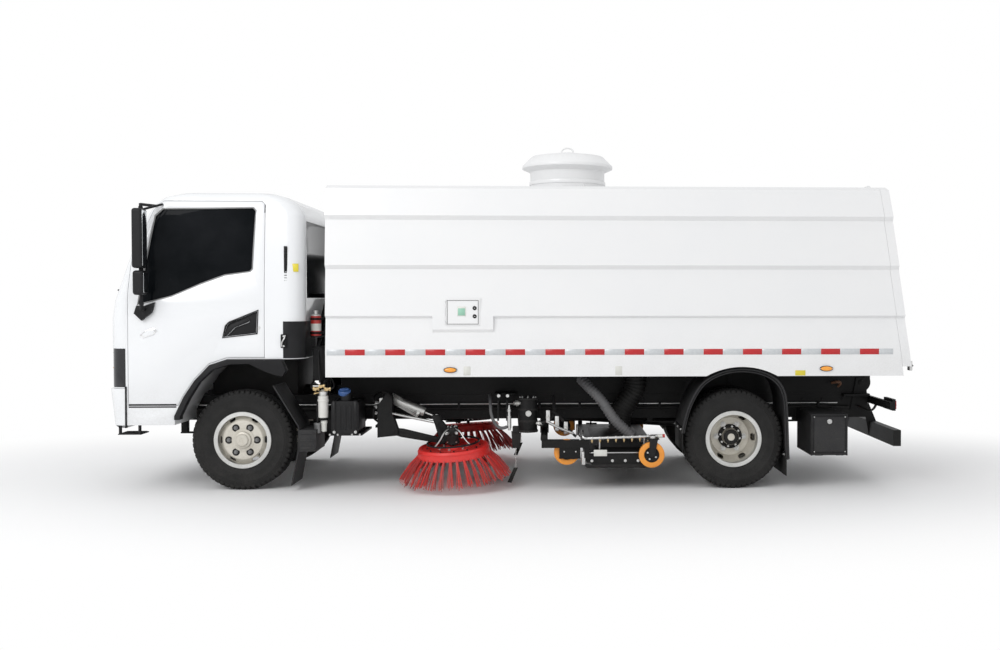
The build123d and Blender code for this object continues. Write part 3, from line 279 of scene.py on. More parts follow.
def makeShadeGroup():
    # small changes of tone across one colour
    group, given, out = openGroup("toneDrift", (("Vector", "Vector", None), ("Color", "Color", (0.5, 0.5, 0.5, 1)),
        ("Other Color", "Color", (0.4, 0.4, 0.4, 1)), ("Scale", "Float", 4.0), ("Low", "Float", 0.35),
        ("High", "Float", 0.75)), (("Color", "Color"), ("Fac", "Float")))
    noise = addNode(group, "TexNoise", {"Vector": given["Vector"], "Scale": given["Scale"], "Detail": 8.0,
        "Roughness": 0.6})
    spread = addNode(group, "MapRange", {"Value": noise.outputs["Fac"], "From Min": given["Low"],
        "From Max": given["High"]})
    colour = addNode(group, "Mix", {"Factor": spread.outputs[0], "A": given["Color"], "B": given["Other Color"]},
        data_type="RGBA")
    group.links.new(colour.outputs["Result"], out["Color"])
    group.links.new(spread.outputs[0], out["Fac"])
    return group


def makeSurfaceGroup():
    # fine relief: orange peel, moulded grain or cast skin by its scale and strength
    group, given, out = openGroup("fineRelief", (("Vector", "Vector", None), ("Scale", "Float", 200.0),
        ("Detail", "Float", 2.0), ("Depth", "Float", 0.0005), ("Strength", "Float", 0.3)), (("Normal", "Vector"),))
    noise = addNode(group, "TexNoise", {"Vector": given["Vector"], "Scale": given["Scale"],
        "Detail": given["Detail"]})
    bump = addNode(group, "Bump", {"Height": noise.outputs["Fac"], "Distance": given["Depth"],
        "Strength": given["Strength"]})
    group.links.new(bump.outputs["Normal"], out["Normal"])
    return group


def makeBrushedGroup():
    # fine lines along one axis, as rolled or brushed metal has
    group, given, out = openGroup("brushedLines", (("Vector", "Vector", None),
        ("Stretch", "Vector", (4.0, 260.0, 260.0)), ("Smooth", "Float", 0.25), ("Rough", "Float", 0.5)),
        (("Roughness", "Float"), ("Normal", "Vector")))
    stretched = addNode(group, "VectorMath", {0: given["Vector"], 1: given["Stretch"]}, operation="MULTIPLY")
    noise = addNode(group, "TexNoise", {"Vector": stretched.outputs[0], "Scale": 1.0, "Detail": 4.0})
    rough = addNode(group, "MapRange", {"Value": noise.outputs["Fac"], "From Min": 0.3, "From Max": 0.7,
        "To Min": given["Smooth"], "To Max": given["Rough"]})
    bump = addNode(group, "Bump", {"Height": noise.outputs["Fac"], "Distance": 0.0004, "Strength": 0.15})
    group.links.new(rough.outputs[0], out["Roughness"])
    group.links.new(bump.outputs["Normal"], out["Normal"])
    return group


grimeGroup = makeGrimeGroup()
shadeGroup = makeShadeGroup()
reliefGroup = makeSurfaceGroup()
brushedGroup = makeBrushedGroup()


blackPaint = {"below": 0.03, "specular": 0.18}


def makeFinish(name, colour, other=None, roughness=0.4, dusty=None, metallic=0.0, coat=0.0, toneScale=4.0, grime=0.0,
        dust=(0.16, 0.15, 0.13), grimeLow=0.0, grimeHigh=1.2, relief=(220.0, 2.0, 0.0004, 0.2), brushed=None,
        **shader):
    material = bpy.data.materials.new(name)
    material.use_nodes = True
    tree = material.node_tree
    principled = tree.nodes["Principled BSDF"]
    place = addNode(tree, "TexCoord").outputs["Object"]
    tone = addNode(tree, "Group", node_tree=shadeGroup)
    tree.links.new(place, tone.inputs["Vector"])
    tone.inputs["Color"].default_value = (*colour, 1)
    tone.inputs["Other Color"].default_value = (*(other or [c * 0.93 for c in colour]), 1)
    tone.inputs["Scale"].default_value = toneScale
    film = addNode(tree, "Group", node_tree=grimeGroup)
    tree.links.new(place, film.inputs["Vector"])
    tree.links.new(tone.outputs["Color"], film.inputs["Color"])
    for label, value in (("Dust Color", (*dust, 1)), ("Low", grimeLow), ("High", grimeHigh), ("Amount", grime),
            ("Clean Roughness", roughness), ("Dusty Roughness", dusty or min(1, roughness + 0.3))):
        film.inputs[label].default_value = value
    tree.links.new(film.outputs["Color"], principled.inputs["Base Color"])
    if brushed:
        lines = addNode(tree, "Group", node_tree=brushedGroup)
        tree.links.new(place, lines.inputs["Vector"])
        lines.inputs["Stretch"].default_value = brushed
        lines.inputs["Smooth"].default_value = roughness * 0.7
        lines.inputs["Rough"].default_value = roughness * 1.4
        tree.links.new(lines.outputs["Roughness"], principled.inputs["Roughness"])
        tree.links.new(lines.outputs["Normal"], principled.inputs["Normal"])
    else:
        tree.links.new(film.outputs["Roughness"], principled.inputs["Roughness"])
        skin = addNode(tree, "Group", node_tree=reliefGroup)
        tree.links.new(place, skin.inputs["Vector"])
        for label, value in zip(("Scale", "Detail", "Depth", "Strength"), relief):
            skin.inputs[label].default_value = value
        tree.links.new(skin.outputs["Normal"], principled.inputs["Normal"])
    principled.inputs["Metallic"].default_value = metallic
    if max(colour) < blackPaint["below"]:
        principled.inputs["Specular IOR Level"].default_value = blackPaint["specular"]
    principled.inputs["Coat Weight"].default_value = coat
    for label, value in shader.items():
        principled.inputs[label.replace("_", " ")].default_value = value
    material.diffuse_color = (*colour, 1)
    return material


finishes = {
    "cabWhite": makeFinish("cabPaint", (0.8, 0.81, 0.82), (0.785, 0.795, 0.81), 0.22, coat=0.6, grime=0.35,
        grimeHigh=0.9, grimeLow=0.3, dust=(0.35, 0.33, 0.29), relief=(160.0, 1.0, 0.0003, 0.08)),
    "boxWhite": makeFinish("containerPaint", (0.8, 0.8, 0.8), (0.775, 0.78, 0.785), 0.33, coat=0.25, toneScale=1.5,
        grime=0.25, grimeLow=0.6, grimeHigh=1.3, dust=(0.36, 0.34, 0.3), relief=(90.0, 1.0, 0.0006, 0.1)),
    # black frame paint, also laid on the container's underside faces as painted shade
    "frameBlackAndUndersideShade": makeFinish("framePaintAndUndersideShade", (0.006, 0.006, 0.0065), (0.01, 0.01, 0.01), 0.45, grime=0.35,
        dust=(0.035, 0.033, 0.029), toneScale=6.0),
    "armBlack": makeFinish("armPaint", (0.01, 0.01, 0.011), (0.016, 0.016, 0.017), 0.33, grime=0.3,
        dust=(0.05, 0.047, 0.042)),
    "castIron": makeFinish("engineCasting", (0.014, 0.014, 0.015), (0.026, 0.025, 0.024), 0.6, grime=0.4,
        dust=(0.05, 0.045, 0.04), relief=(160.0, 4.0, 0.001, 0.5)),
    "trimBlack": makeFinish("mouldedTrim", (0.012, 0.012, 0.013), (0.018, 0.018, 0.019), 0.45, grime=0.2,
        dust=(0.06, 0.056, 0.05), relief=(700.0, 2.0, 0.0003, 0.35)),
    "guardGrey": makeFinish("guardPlastic", (0.024, 0.024, 0.026), (0.034, 0.034, 0.036), 0.55, grime=0.4,
        dust=(0.09, 0.085, 0.075), relief=(600.0, 3.0, 0.0004, 0.4)),
    "darkGlass": makeFinish("tintedGlass", (0.004, 0.005, 0.006), (0.012, 0.013, 0.015), 0.05, toneScale=2.2,
        relief=(2.0, 0.0, 0.0003, 0.02), Specular_IOR_Level=0.05),
    "seatCloth": makeFinish("seatCloth", (0.05, 0.05, 0.055), (0.075, 0.075, 0.08), 0.9, toneScale=300.0,
        relief=(900.0, 1.0, 0.0008, 0.6)),
    "tyreRubber": makeFinish("tyreRubber", (0.013, 0.013, 0.013), (0.022, 0.0215, 0.021), 0.62, dusty=0.85, grime=0.5,
        grimeHigh=0.9, dust=(0.05, 0.047, 0.044), relief=(400.0, 4.0, 0.0005, 0.35), toneScale=9.0),
    "rimSilver": makeFinish("rimEnamel", (0.67, 0.64, 0.57), (0.57, 0.54, 0.47), 0.34, metallic=0.3, grime=0.35,
        toneScale=9.0, dust=(0.25, 0.21, 0.16), relief=(300.0, 2.0, 0.0004, 0.15)),
    "brushRed": makeFinish("brushPaint", (0.74, 0.022, 0.02), (0.64, 0.02, 0.019), 0.38, grime=0.35,
        dust=(0.33, 0.13, 0.1), grimeHigh=0.6, relief=(200.0, 2.0, 0.0006, 0.2)),
    "bristleRed": makeFinish("bristlePlastic", (0.7, 0.04, 0.03), (0.52, 0.03, 0.035), 0.5, grime=0.8, grimeHigh=0.3,
        dust=(0.3, 0.12, 0.1), toneScale=60.0),
    # a darker red, given to a random share of the bristle strips
    "bristleDark": makeFinish("darkRedBristle", (0.3, 0.035, 0.045), (0.4, 0.1, 0.09), 0.55, grime=0.8, grimeHigh=0.3,
        dust=(0.25, 0.14, 0.12), toneScale=60.0),
    "castorOrange": makeFinish("castorRubber", (0.9, 0.36, 0.035), (0.8, 0.27, 0.03), 0.42, grime=0.3,
        dust=(0.4, 0.22, 0.1), relief=(250.0, 2.0, 0.0005, 0.25)),
    "bareSteel": makeFinish("bareSteel", (0.72, 0.72, 0.71), (0.58, 0.58, 0.57), 0.32, metallic=1.0, grime=0.2,
        brushed=(6.0, 240.0, 240.0)),
    "mirrorGlass": makeFinish("mirrorGlass", (0.75, 0.77, 0.78), (0.73, 0.75, 0.76), 0.04, metallic=1.0),
    "labelGreen": makeFinish("blankGreenLabel", (0.3, 0.55, 0.42), (0.27, 0.5, 0.38), 0.5),
    "chromed": makeFinish("chromePlate", (0.85, 0.85, 0.85), (0.76, 0.76, 0.76), 0.14, metallic=1.0),
    "castAlloy": makeFinish("castAlloy", (0.74, 0.74, 0.72), (0.56, 0.56, 0.54), 0.42, metallic=0.9, grime=0.3,
        relief=(260.0, 4.0, 0.0008, 0.4)),
    "brassFitting": makeFinish("brassFitting", (0.62, 0.46, 0.24), (0.48, 0.36, 0.2), 0.35, metallic=1.0),
    "hoseRubber": makeFinish("hoseRubber", (0.01, 0.01, 0.011), (0.018, 0.018, 0.017), 0.5, grime=0.4,
        dust=(0.06, 0.055, 0.05), relief=(300.0, 3.0, 0.0004, 0.3)),
    "brownHose": makeFinish("brownHose", (0.16, 0.075, 0.04), (0.12, 0.055, 0.03), 0.5,
        relief=(300.0, 2.0, 0.0004, 0.3)),
    "hoseGrey": makeFinish("hoseGrey", (0.1, 0.1, 0.105), (0.14, 0.14, 0.14), 0.5, grime=0.3,
        dust=(0.16, 0.15, 0.14)),
    "lampClear": makeFinish("lampLens", (0.1, 0.1, 0.11), (0.14, 0.14, 0.15), 0.06, coat=1.0),
    "lampDark": makeFinish("lampHousing", (0.015, 0.015, 0.017), (0.02, 0.02, 0.022), 0.12, coat=0.8),
    "amber": makeFinish("amberLens", (0.85, 0.3, 0.02), (0.95, 0.42, 0.04), 0.12, coat=0.8, toneScale=25.0),
    "reflectRed": makeFinish("reflectiveRed", (0.5, 0.013, 0.016), (0.44, 0.011, 0.015), 0.35, coat=0.1,
        toneScale=60.0),
    "reflectSilver": makeFinish("reflectiveSilver", (0.6, 0.62, 0.63), (0.52, 0.54, 0.56), 0.38, metallic=0.2,
        coat=0.1, toneScale=60.0),
    "blueCap": makeFinish("blueCap", (0.05, 0.12, 0.32), (0.04, 0.1, 0.27), 0.35, relief=(500.0, 2.0, 0.0004, 0.3)),
    "filterWhite": makeFinish("filterBowl", (0.72, 0.71, 0.68), (0.62, 0.61, 0.57), 0.3, grime=0.3,
        dust=(0.4, 0.37, 0.3)),
    "signYellow": makeFinish("yellowSticker", (0.75, 0.62, 0.04), (0.62, 0.52, 0.05), 0.4),
    "cylinderRed": makeFinish("extinguisherRed", (0.5, 0.03, 0.025), (0.4, 0.025, 0.02), 0.3, coat=0.4),
    "labelPale": makeFinish("blankLabel", (0.7, 0.7, 0.66), (0.62, 0.62, 0.58), 0.5),
    "sealGrey": makeFinish("windowSeal", (0.2, 0.2, 0.2), (0.26, 0.26, 0.26), 0.38, metallic=0.5),
}
print("finishes ready")


# CAD nodes with rounded edges

nodeFinishes = {"chassis_black": "frameBlackAndUndersideShade", "cab_white": "cabWhite", "box_white": "boxWhite",
    "glass_dark": "darkGlass", "trim_black": "trimBlack", "guard_grey": "guardGrey", "seat_fabric": "seatCloth",
    "tyre": "tyreRubber", "rim_silver": "rimSilver", "brush_red": "brushRed", "castor_orange": "castorOrange",
    "steel": "bareSteel", "aluminium": "castAlloy", "engine_iron": "castIron", "hose_rubber": "hoseRubber",
    "lamp_clear": "lampDark",}
dressing = {"weld": 0.00002, "curvedFlatness": 0.05, "plainFlatness": 0.6, "rounding": 0.002, "edgeAngle": 40,
    "smoothAngle": 42, "flatArea": 0.003}
slotOf = {row["node"]: row["material_slot"] for row in frame["record"]["subparts"]}
edgeRounding = {"cab_shell": 0.006, "container": 0.005, "bumper": 0.008, "door_left": 0.004, "door_right": 0.004,
    "cab_glass": 0.001, "door_glass_left": 0.001, "door_glass_right": 0.001, "frame": 0.0025}
curvedNodes = ("cab_shell", "cab_glass", "door_left", "door_right", "door_glass_left", "door_glass_right", "bumper",
    "headlamps")
flatNodes = ("hatch", "tailgate", "tool_box", "tool_box_door", "frame", "equipment_rack", "rear_guard",
    "suction_nozzle", "brush_turret_left", "brush_turret_right", "dashboard")


def copyNode(node, name):
    # a copy of that CAD node, welded and left open in edit mode
    piece = bpy.data.objects.new(name, nodes[node].data.copy())
    bpy.context.scene.collection.objects.link(piece)
    piece.data.materials.clear()
    makeActive(piece)
    bpy.ops.object.mode_set(mode="EDIT")
    bpy.ops.mesh.select_all(action="SELECT")
    bpy.ops.mesh.customdata_custom_splitnormals_clear()
    bpy.ops.mesh.remove_doubles(threshold=dressing["weld"])
    return piece


def roundNode(node):
    piece = copyNode(node, "dressed_" + node)
    flatness = dressing["curvedFlatness" if node in curvedNodes else "plainFlatness"]
    bpy.ops.mesh.dissolve_limited(angle_limit=math.radians(flatness))
    bpy.ops.object.mode_set(mode="OBJECT")
    addBevel(piece, edgeRounding.get(node, dressing["rounding"]), 2, dressing["edgeAngle"])
    smoothPiece(piece, dressing["smoothAngle"])
    if node in flatNodes:
        flattenPanels(piece, dressing["flatArea"])
    piece.data.materials.append(finishes[nodeFinishes[slotOf[node]]])
    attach(piece, bodyOf[node])
    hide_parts(node)
    return piece


modelledApart = set()


def mirrorPiece(piece):
    twin = copyPiece(piece)
    twin.data.transform(Matrix.Scale(-1, 4, axisVectors["y"]))
    twin.data.flip_normals()
    return twin


def settlePair(pieces, name, body, replaced=None):
    # the left piece and its mirror image; {} in the body and the node stands for the side
    left = joinPieces(pieces, name + "Left", body.format("left"))
    right = mirrorPiece(left)
    right.name = right.data.name = name + "Right"
    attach(right, body.format("right"))
    if replaced:
        for side, piece in zip(sides, (left, right)):
            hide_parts(replaced.format(side))
            modelledApart.add(replaced.format(side))


def ringOf(piece, count, about, axis="y", start=0):
    # count copies of a piece round an axis; the first is the piece itself, turned by start
    copies = [copyPiece(piece, turn=start + 2 * math.pi * index / count, about=about,
        axis=axis) for index in range(count)]
    bpy.data.objects.remove(piece)
    return copies


def boltPiece(place, axis="y", radius=0.012, height=0.01, finish=None, outward=-1, stud=True):
    # a hexagon head on its washer, with the stud's end where there is one
    steps = [(0, radius * 1.35), (0.2, radius * 1.35), (0.2, radius), (0.9, radius), (1.0, radius * 0.85)]
    if stud:
        steps += [(1.0, radius * 0.5), (1.5, radius * 0.5), (1.6, radius * 0.35)]
    profile = [(outward * height * along, size) for along, size in steps]
    return turnPiece(profile, place, axis, 6, finish=finish, smooth=25)


# Wheels

wheel = {"lugs": 56, "lugHalf": 0.0155, "grooves": (-0.03, 0.0, 0.03), "grooveHalf": 0.0035, "grooveFloor": 0.378,
    "front": (-2.065, -0.755, 0.3875), "outer": (1.75, -0.837, 0.3875), "inner": (1.75, -0.592, 0.3875),
    "nutRing": 0.108, "studRing": 0.078}


def tyreProfile():
    wall = [(-0.0765, 0.203), (-0.0785, 0.222), (-0.088, 0.238), (-0.0915, 0.258), (-0.0935, 0.264), (-0.0935, 0.268),
        (-0.0925, 0.272), (-0.0948, 0.298), (-0.0945, 0.316), (-0.0955, 0.319), (-0.0945, 0.322), (-0.0915, 0.34),
        (-0.0895, 0.346), (-0.087, 0.356), (-0.082, 0.365), (-0.072, 0.374), (-0.058, 0.3775), (-0.057, 0.3868)]
    tread = []
    for place in wheel["grooves"]:
        half = wheel["grooveHalf"]
        tread += [(place - half - 0.001, 0.3875), (place - half, wheel["grooveFloor"]),
            (place + half, wheel["grooveFloor"]), (place + half + 0.001, 0.3875)]
    return wall + tread + [(-place, size) for place, size in reversed(wall)]


def makeTyre(centre):
    centre = Vector(centre)
    carcass = turnPiece(tyreProfile(), centre, "y", 112, capEnds=False, smooth=30)
    lugs = []
    for sign in (-1, 1):
        outline = [(0.0565, 0.37), (0.0565, 0.3872), (0.068, 0.3868), (0.08, 0.38), (0.0885, 0.362), (0.085, 0.356)]
        outline = [(centre.y + sign * place, centre.z + size) for place, size in outline]
        lug = platePiece(outline, "x", centre.x - wheel["lugHalf"], centre.x + wheel["lugHalf"], 0.0015, segments=1)
        lugs += ringOf(lug, wheel["lugs"], centre, "y", 0.03 if sign > 0 else 0)
    # fine ribs round the upper side wall, as retreaded lorry tyres have
    for sign in (-1, 1):
        rib = boxPiece((centre.x - 0.0018, centre.y + sign * 0.0925 - 0.0015, centre.z + 0.328),
            (centre.x + 0.0018, centre.y + sign * 0.0925 + 0.0015, centre.z + 0.343), 0.0008, 1)
        lugs += ringOf(rib, 2 * wheel["lugs"], centre, "y")
    pieces = [carcass] + lugs
    for piece in pieces:
        paintWith(piece, "tyreRubber")
    return pieces


def makeWheels():
    settlePair(makeTyre(wheel["front"]), "frontTyre", "front_wheel_{}", "front_tyre_{}")
    settlePair(makeTyre(wheel["outer"]) + makeTyre(wheel["inner"]), "rearTyres", "rear_wheel_{}",
        "rear_tyres_{}")
    # front: grey nuts in their dark cups, hub cap, rim lip and valve stem
    x, y, z = wheel["front"]
    face = y - 0.07
    nut = boltPiece((x, face - 0.001, z + wheel["nutRing"]), "y", 0.013, 0.014, "sealGrey")
    nuts = ringOf(nut, 6, (x, face, z), "y", math.pi / 2)
    cup = turnPiece([(-0.0006, 0.0), (-0.0008, 0.0265), (-0.002, 0.0275), (-0.002, 0.0285), (0.001, 0.029)],
        (x, face, z + wheel["nutRing"]), "y", 28, capEnds=False, finish="castIron", smooth=40)
    nuts += ringOf(cup, 6, (x, face, z), "y", math.pi / 2)
    cap = turnPiece([(0.03, 0.064), (-0.018, 0.064), (-0.022, 0.058), (-0.023, 0.05), (-0.034, 0.047), (-0.04, 0.04),
        (-0.04, 0.018), (-0.037, 0.014), (-0.037, 0.0)], (x, face, z), "y", 48, finish="rimSilver", smooth=30)
    hollow = turnPiece([(0.0, 0.088), (-0.0025, 0.086), (-0.0025, 0.066), (0.0, 0.064)], (x, face, z), "y", 48,
        closed=True, finish="rimSilver")
    lip = turnPiece([(-0.0868, 0.1895), (-0.0868, 0.2185), (-0.085, 0.2205), (-0.078, 0.22), (-0.0775, 0.1905),
        (-0.02, 0.1905), (-0.02, 0.1895)], (x, y, z), "y", 96, closed=True, finish="castAlloy", smooth=30)
    stem = tubePiece([(x + 0.12, face + 0.02, z - 0.11), (x + 0.128, face - 0.02, z - 0.118)], 0.0045, "hoseRubber",
        False)
    settlePair(nuts + [cap, hollow, lip, stem], "frontWheelNuts", "front_wheel_{}")
    # rear: nuts on their studs, the dark axle flange with its bolts, the bright inside of the rim
    x, y, z = wheel["outer"]
    face = (wheel["outer"][1] + wheel["inner"][1]) / 2 - 0.014
    nut = boltPiece((x, face - 0.01, z + wheel["nutRing"]), "y", 0.0178, 0.024, "bareSteel")
    parts = ringOf(nut, 6, (x, face, z), "y", math.pi / 2)
    flange = turnPiece([(0, 0.0965), (-0.0155, 0.0965), (-0.0185, 0.092), (-0.022, 0.07), (-0.025, 0.0655),
        (-0.068, 0.0635), (-0.0715, 0.06), (-0.0775, 0.051), (-0.0775, 0.03), (-0.074, 0.026), (-0.074, 0.0)],
        (x, face, z), "y", 48, finish="castIron", smooth=30)
    bolt = boltPiece((x, face - 0.019, z + wheel["studRing"]), "y", 0.0075, 0.01, "bareSteel", stud=False)
    parts += [flange] + ringOf(bolt, 8, (x, face, z), "y", 0.2)
    bright = turnPiece([(-0.0868, 0.1895), (-0.0868, 0.2185), (-0.085, 0.2205), (-0.078, 0.22), (-0.0775, 0.1905),
        (0.06, 0.1905), (0.06, 0.1895)], (x, y, z), "y", 96, closed=True, finish="castAlloy", smooth=30)
    settlePair(parts + [bright], "rearWheelHub", "rear_wheel_{}")
    print("wheels done")


makeWheels()


# Side brushes

brush = {"centre": (-0.441, -0.78, 0.299), "axis": (-0.060844, -0.081787, 0.994791), "tufts": 36, "bristles": 15,
    "rootRadius": 0.268, "tipRadius": 0.428, "tipDrop": 0.214, "seed": 5, "kinds": 5, "spread": 0.052,
    "redShare": 0.72, "stayTurns": (1.5, -2.25, -0.8), "stayRadius": 0.007}
brushPlace = Matrix.Translation(brush["centre"]) @ leanTo(brush["axis"])


def atBrush(pieces):
    for piece in pieces:
        piece.data.transform(brushPlace)
    return pieces


def makeTuft(chance):
    # flat bristles that leave one socket together and spread towards the ground
    strips = []
    for index in range(brush["bristles"]):
        share = (index + 0.5) / brush["bristles"] - 0.5
        spread = share * brush["spread"] + chance.uniform(-0.007, 0.007)
        radius = brush["tipRadius"] + chance.uniform(-0.03, 0.012)
        drop = brush["tipDrop"] + chance.uniform(-0.034, 0.01)
        root = Vector((brush["rootRadius"] + chance.uniform(-0.005, 0.005), share * 0.01, -0.012))
        tip = Vector((radius, spread, -drop))
        middle = root.lerp(tip, 0.5) + Vector((0.007, 0, 0.005 + chance.uniform(-0.005, 0.005)))
        width = chance.uniform(0.0014, 0.0023)
        strip = platePiece([(root.x, root.z), (middle.x, middle.z), (tip.x, tip.z), (tip.x - 0.002, tip.z - 0.003),
            (middle.x - 0.0035, middle.z - 0.002), (root.x - 0.004, root.z)], "y", -width, width, 0)
        for vertex in strip.data.vertices:
            share = min(1, max(0, (root.z - vertex.co.z) / (root.z - tip.z)))
            vertex.co.y += root.y + (spread - root.y) * share
        # a random share of the strips take the darker red
        strips.append(paintWith(strip, "bristleRed" if chance.random() < brush["redShare"] else "bristleDark"))
    return mergePieces(strips)


def makeBrush():
    chance = random.Random(brush["seed"])
    kinds = [makeTuft(chance) for _ in range(brush["kinds"])]
    tufts = []
    for index in range(brush["tufts"]):
        swing = 2 * math.pi * (index + chance.uniform(-0.12, 0.12)) / brush["tufts"]
        tufts.append(copyPiece(kinds[index % len(kinds)], turn=swing, axis="z"))
    for piece in kinds:
        bpy.data.objects.remove(piece)
    disc = turnPiece([(0.0, 0.0145), (0.034, 0.0145), (0.034, 0.055), (0.03, 0.06), (0.016, 0.064), (0.014, 0.07),
        (0.018, 0.15), (0.0215, 0.152), (0.0215, 0.16), (0.018, 0.162), (0.022, 0.24), (0.031, 0.25), (0.033, 0.262),
        (0.031, 0.27), (0.014, 0.277), (0.012, 0.281), (0.006, 0.281), (0.004, 0.278), (-0.03, 0.284),
        (-0.038, 0.284), (-0.04, 0.282), (-0.038, 0.267), (0.002, 0.256), (0.0, 0.24)], (0, 0, 0), "z", 96,
        closed=True, finish="brushRed", smooth=28)
    parts = [disc]
    # sockets under the rim, one to a tuft, and the bolts that hold the disc and its segments
    socket = boxPiece((brush["rootRadius"] - 0.014, -0.009, -0.038), (brush["rootRadius"] + 0.008, 0.009, 0.004),
        0.003, 2, "brushRed")
    parts += ringOf(socket, brush["tufts"], (0, 0, 0), "z")
    bolt = boltPiece((0.11, 0, 0.0155), "z", 0.01, 0.01, "bareSteel", outward=1)
    parts += ringOf(bolt, 6, (0, 0, 0), "z", 0.3)
    bolt = boltPiece((0.205, 0, 0.0195), "z", 0.007, 0.008, "castIron", outward=1)
    parts += ringOf(bolt, 12, (0, 0, 0), "z", 0.1)
    settlePair(atBrush(parts + tufts), "sideBrush", "brush_body_{}", "brush_{}")


def makeBrushMotor():
    body = turnPiece([(0.05, 0.046), (0.05, 0.0525), (0.062, 0.0525), (0.063, 0.046), (0.078, 0.0455), (0.08, 0.0465),
        (0.12, 0.0465), (0.122, 0.0445), (0.126, 0.0445), (0.128, 0.0465), (0.168, 0.0465), (0.17, 0.0455),
        (0.182, 0.0455), (0.1835, 0.043), (0.1835, 0.0)], (0, 0, 0), "z", 48, finish="castIron", smooth=30)
    bolt = boltPiece((0.034, 0, 0.183), "z", 0.006, 0.007, "bareSteel", outward=1, stud=False)
    parts = [body] + ringOf(bolt, 7, (0, 0, 0), "z")
    bolt = boltPiece((0.049, 0, 0.0625), "z", 0.006, 0.008, "bareSteel", outward=1, stud=False)
    parts += ringOf(bolt, 4, (0, 0, 0), "z", 0.6)
    for turn in (-0.45, 0.45):
        block = boxPiece((-0.016, -0.058, 0.13), (0.016, -0.036, 0.16), 0.003, 2, "castIron")
        block.data.transform(Matrix.Rotation(turn, 4, "Z"))
        fitting = turnPiece([(-0.057, 0.009), (-0.072, 0.009), (-0.072, 0.012), (-0.084, 0.012), (-0.084, 0.009),
            (-0.098, 0.0085)], (0, 0, 0.145), "y", 6, finish="bareSteel")
        fitting.data.transform(Matrix.Rotation(turn, 4, "Z"))
        parts += [block, fitting]
    # bright stays from the motor's top to the disc frame
    for turn in brush["stayTurns"]:
        stay = tubePiece([(0.04, 0, 0.172), (0.085, 0, 0.165), (0.15, 0, 0.09), (0.205, 0, 0.062)],
            brush["stayRadius"], "bareSteel", True, 10, 5)
        stay.data.transform(Matrix.Rotation(turn, 4, "Z"))
        parts.append(stay)
    frameRing = turnPiece([(0.054, 0.196), (0.066, 0.196), (0.066, 0.208), (0.054, 0.208)], (0, 0, 0), "z", 64,
        closed=True, finish="armBlack")
    settlePair(atBrush(parts + [frameRing]), "brushMotor", "head_body_{}")
    print("brushes done")


makeBrush()
makeBrushMotor()


# Cab

def skinPoint(node, start, direction):
    # where a line from start first meets that CAD node
    target = nodes[node]
    inverse = target.matrix_world.inverted()
    found, place, *_ = target.ray_cast(inverse @ Vector(start), inverse.to_3x3() @ Vector(direction))
    if not found:
        raise ValueError("no surface of " + node + " ahead of " + str(tuple(start)))
    return target.matrix_world @ place


def sidePoint(node, x, z):
    return skinPoint(node, (x, -rayReach["side"], z), (0, 1, 0))


def frontPoint(node, y, z):
    return skinPoint(node, (-rayReach["end"], y, z), (1, 0, 0))


def rearPoint(node, y, z):
    return skinPoint(node, (rayReach["end"], y, z), (-1, 0, 0))


rayReach = {"side": 2, "end": 4}
cab = {"window": ((-2.82, 1.434), (-2.56, 1.5), (-2.344, 1.592), (-2.16, 1.66), (-1.968, 1.688), (-1.95, 1.71),
    (-1.93, 2.16), (-1.952, 2.186), (-2.64, 2.176), (-2.7, 2.12)), "sealWidth": 0.0075, "wiperFoot": 1.468}


def densify(outline, step=0.05):
    points = []
    for (u, v), (uNext, vNext) in zip(outline, outline[1:] + outline[:1]):
        count = max(1, int(math.hypot(uNext - u, vNext - v) / step))
        points += [(u + (uNext - u) * index / count, v + (vNext - v) * index / count) for index in range(count)]
    return points


def makeWindowSeal():
    centreX = sum(x for x, z in cab["window"]) / len(cab["window"])
    centreZ = sum(z for x, z in cab["window"]) / len(cab["window"])
    route = []
    for x, z in densify(list(cab["window"])):
        inward = Vector((centreX - x, 0, centreZ - z)).normalized() * 0.012
        point = sidePoint("door_glass_left", x + inward.x, z + inward.z)
        route.append((x + inward.x * 0.4, point.y - 0.006, z + inward.z * 0.4))
    seal = tubePiece(route, cab["sealWidth"], "sealGrey", False, 6, closed=True)
    lock = turnPiece([(0.02, 0.013), (-0.0015, 0.013), (-0.003, 0.011), (-0.003, 0.006), (-0.001, 0.005),
        (-0.001, 0.0)], sidePoint("door_left", -1.905, 1.262), "y", 24, finish="bareSteel")
    # dark handle tray in its recess, with a moulded border and the grip across it
    side = sidePoint("door_left", -2.1, 1.15).y
    tray = [(-2.178, 1.186), (-2.156, 1.276), (-2.13, 1.303), (-1.91, 1.396), (-1.919, 1.217)]
    liner = platePiece(tray, "y", side + 0.014, side + 0.02, 0.001, "trimBlack")
    border = tubePiece([(x, side - 0.001, z) for x, z in tray], 0.006, "trimBlack", False, 6, closed=True)
    grip = platePiece([(-2.152, 1.194), (-2.086, 1.262), (-1.975, 1.308), (-1.986, 1.334), (-2.12, 1.284),
        (-2.166, 1.222)], "y", side - 0.003, side + 0.012, 0.003, "trimBlack")
    # dark seams under the door
    seam = boxPiece((-2.886, side - 0.0015, 0.6695), (-2.53, side + 0.02, 0.6815), 0.001, 1, "trimBlack")
    return [seal, lock, liner, border, grip, seam]


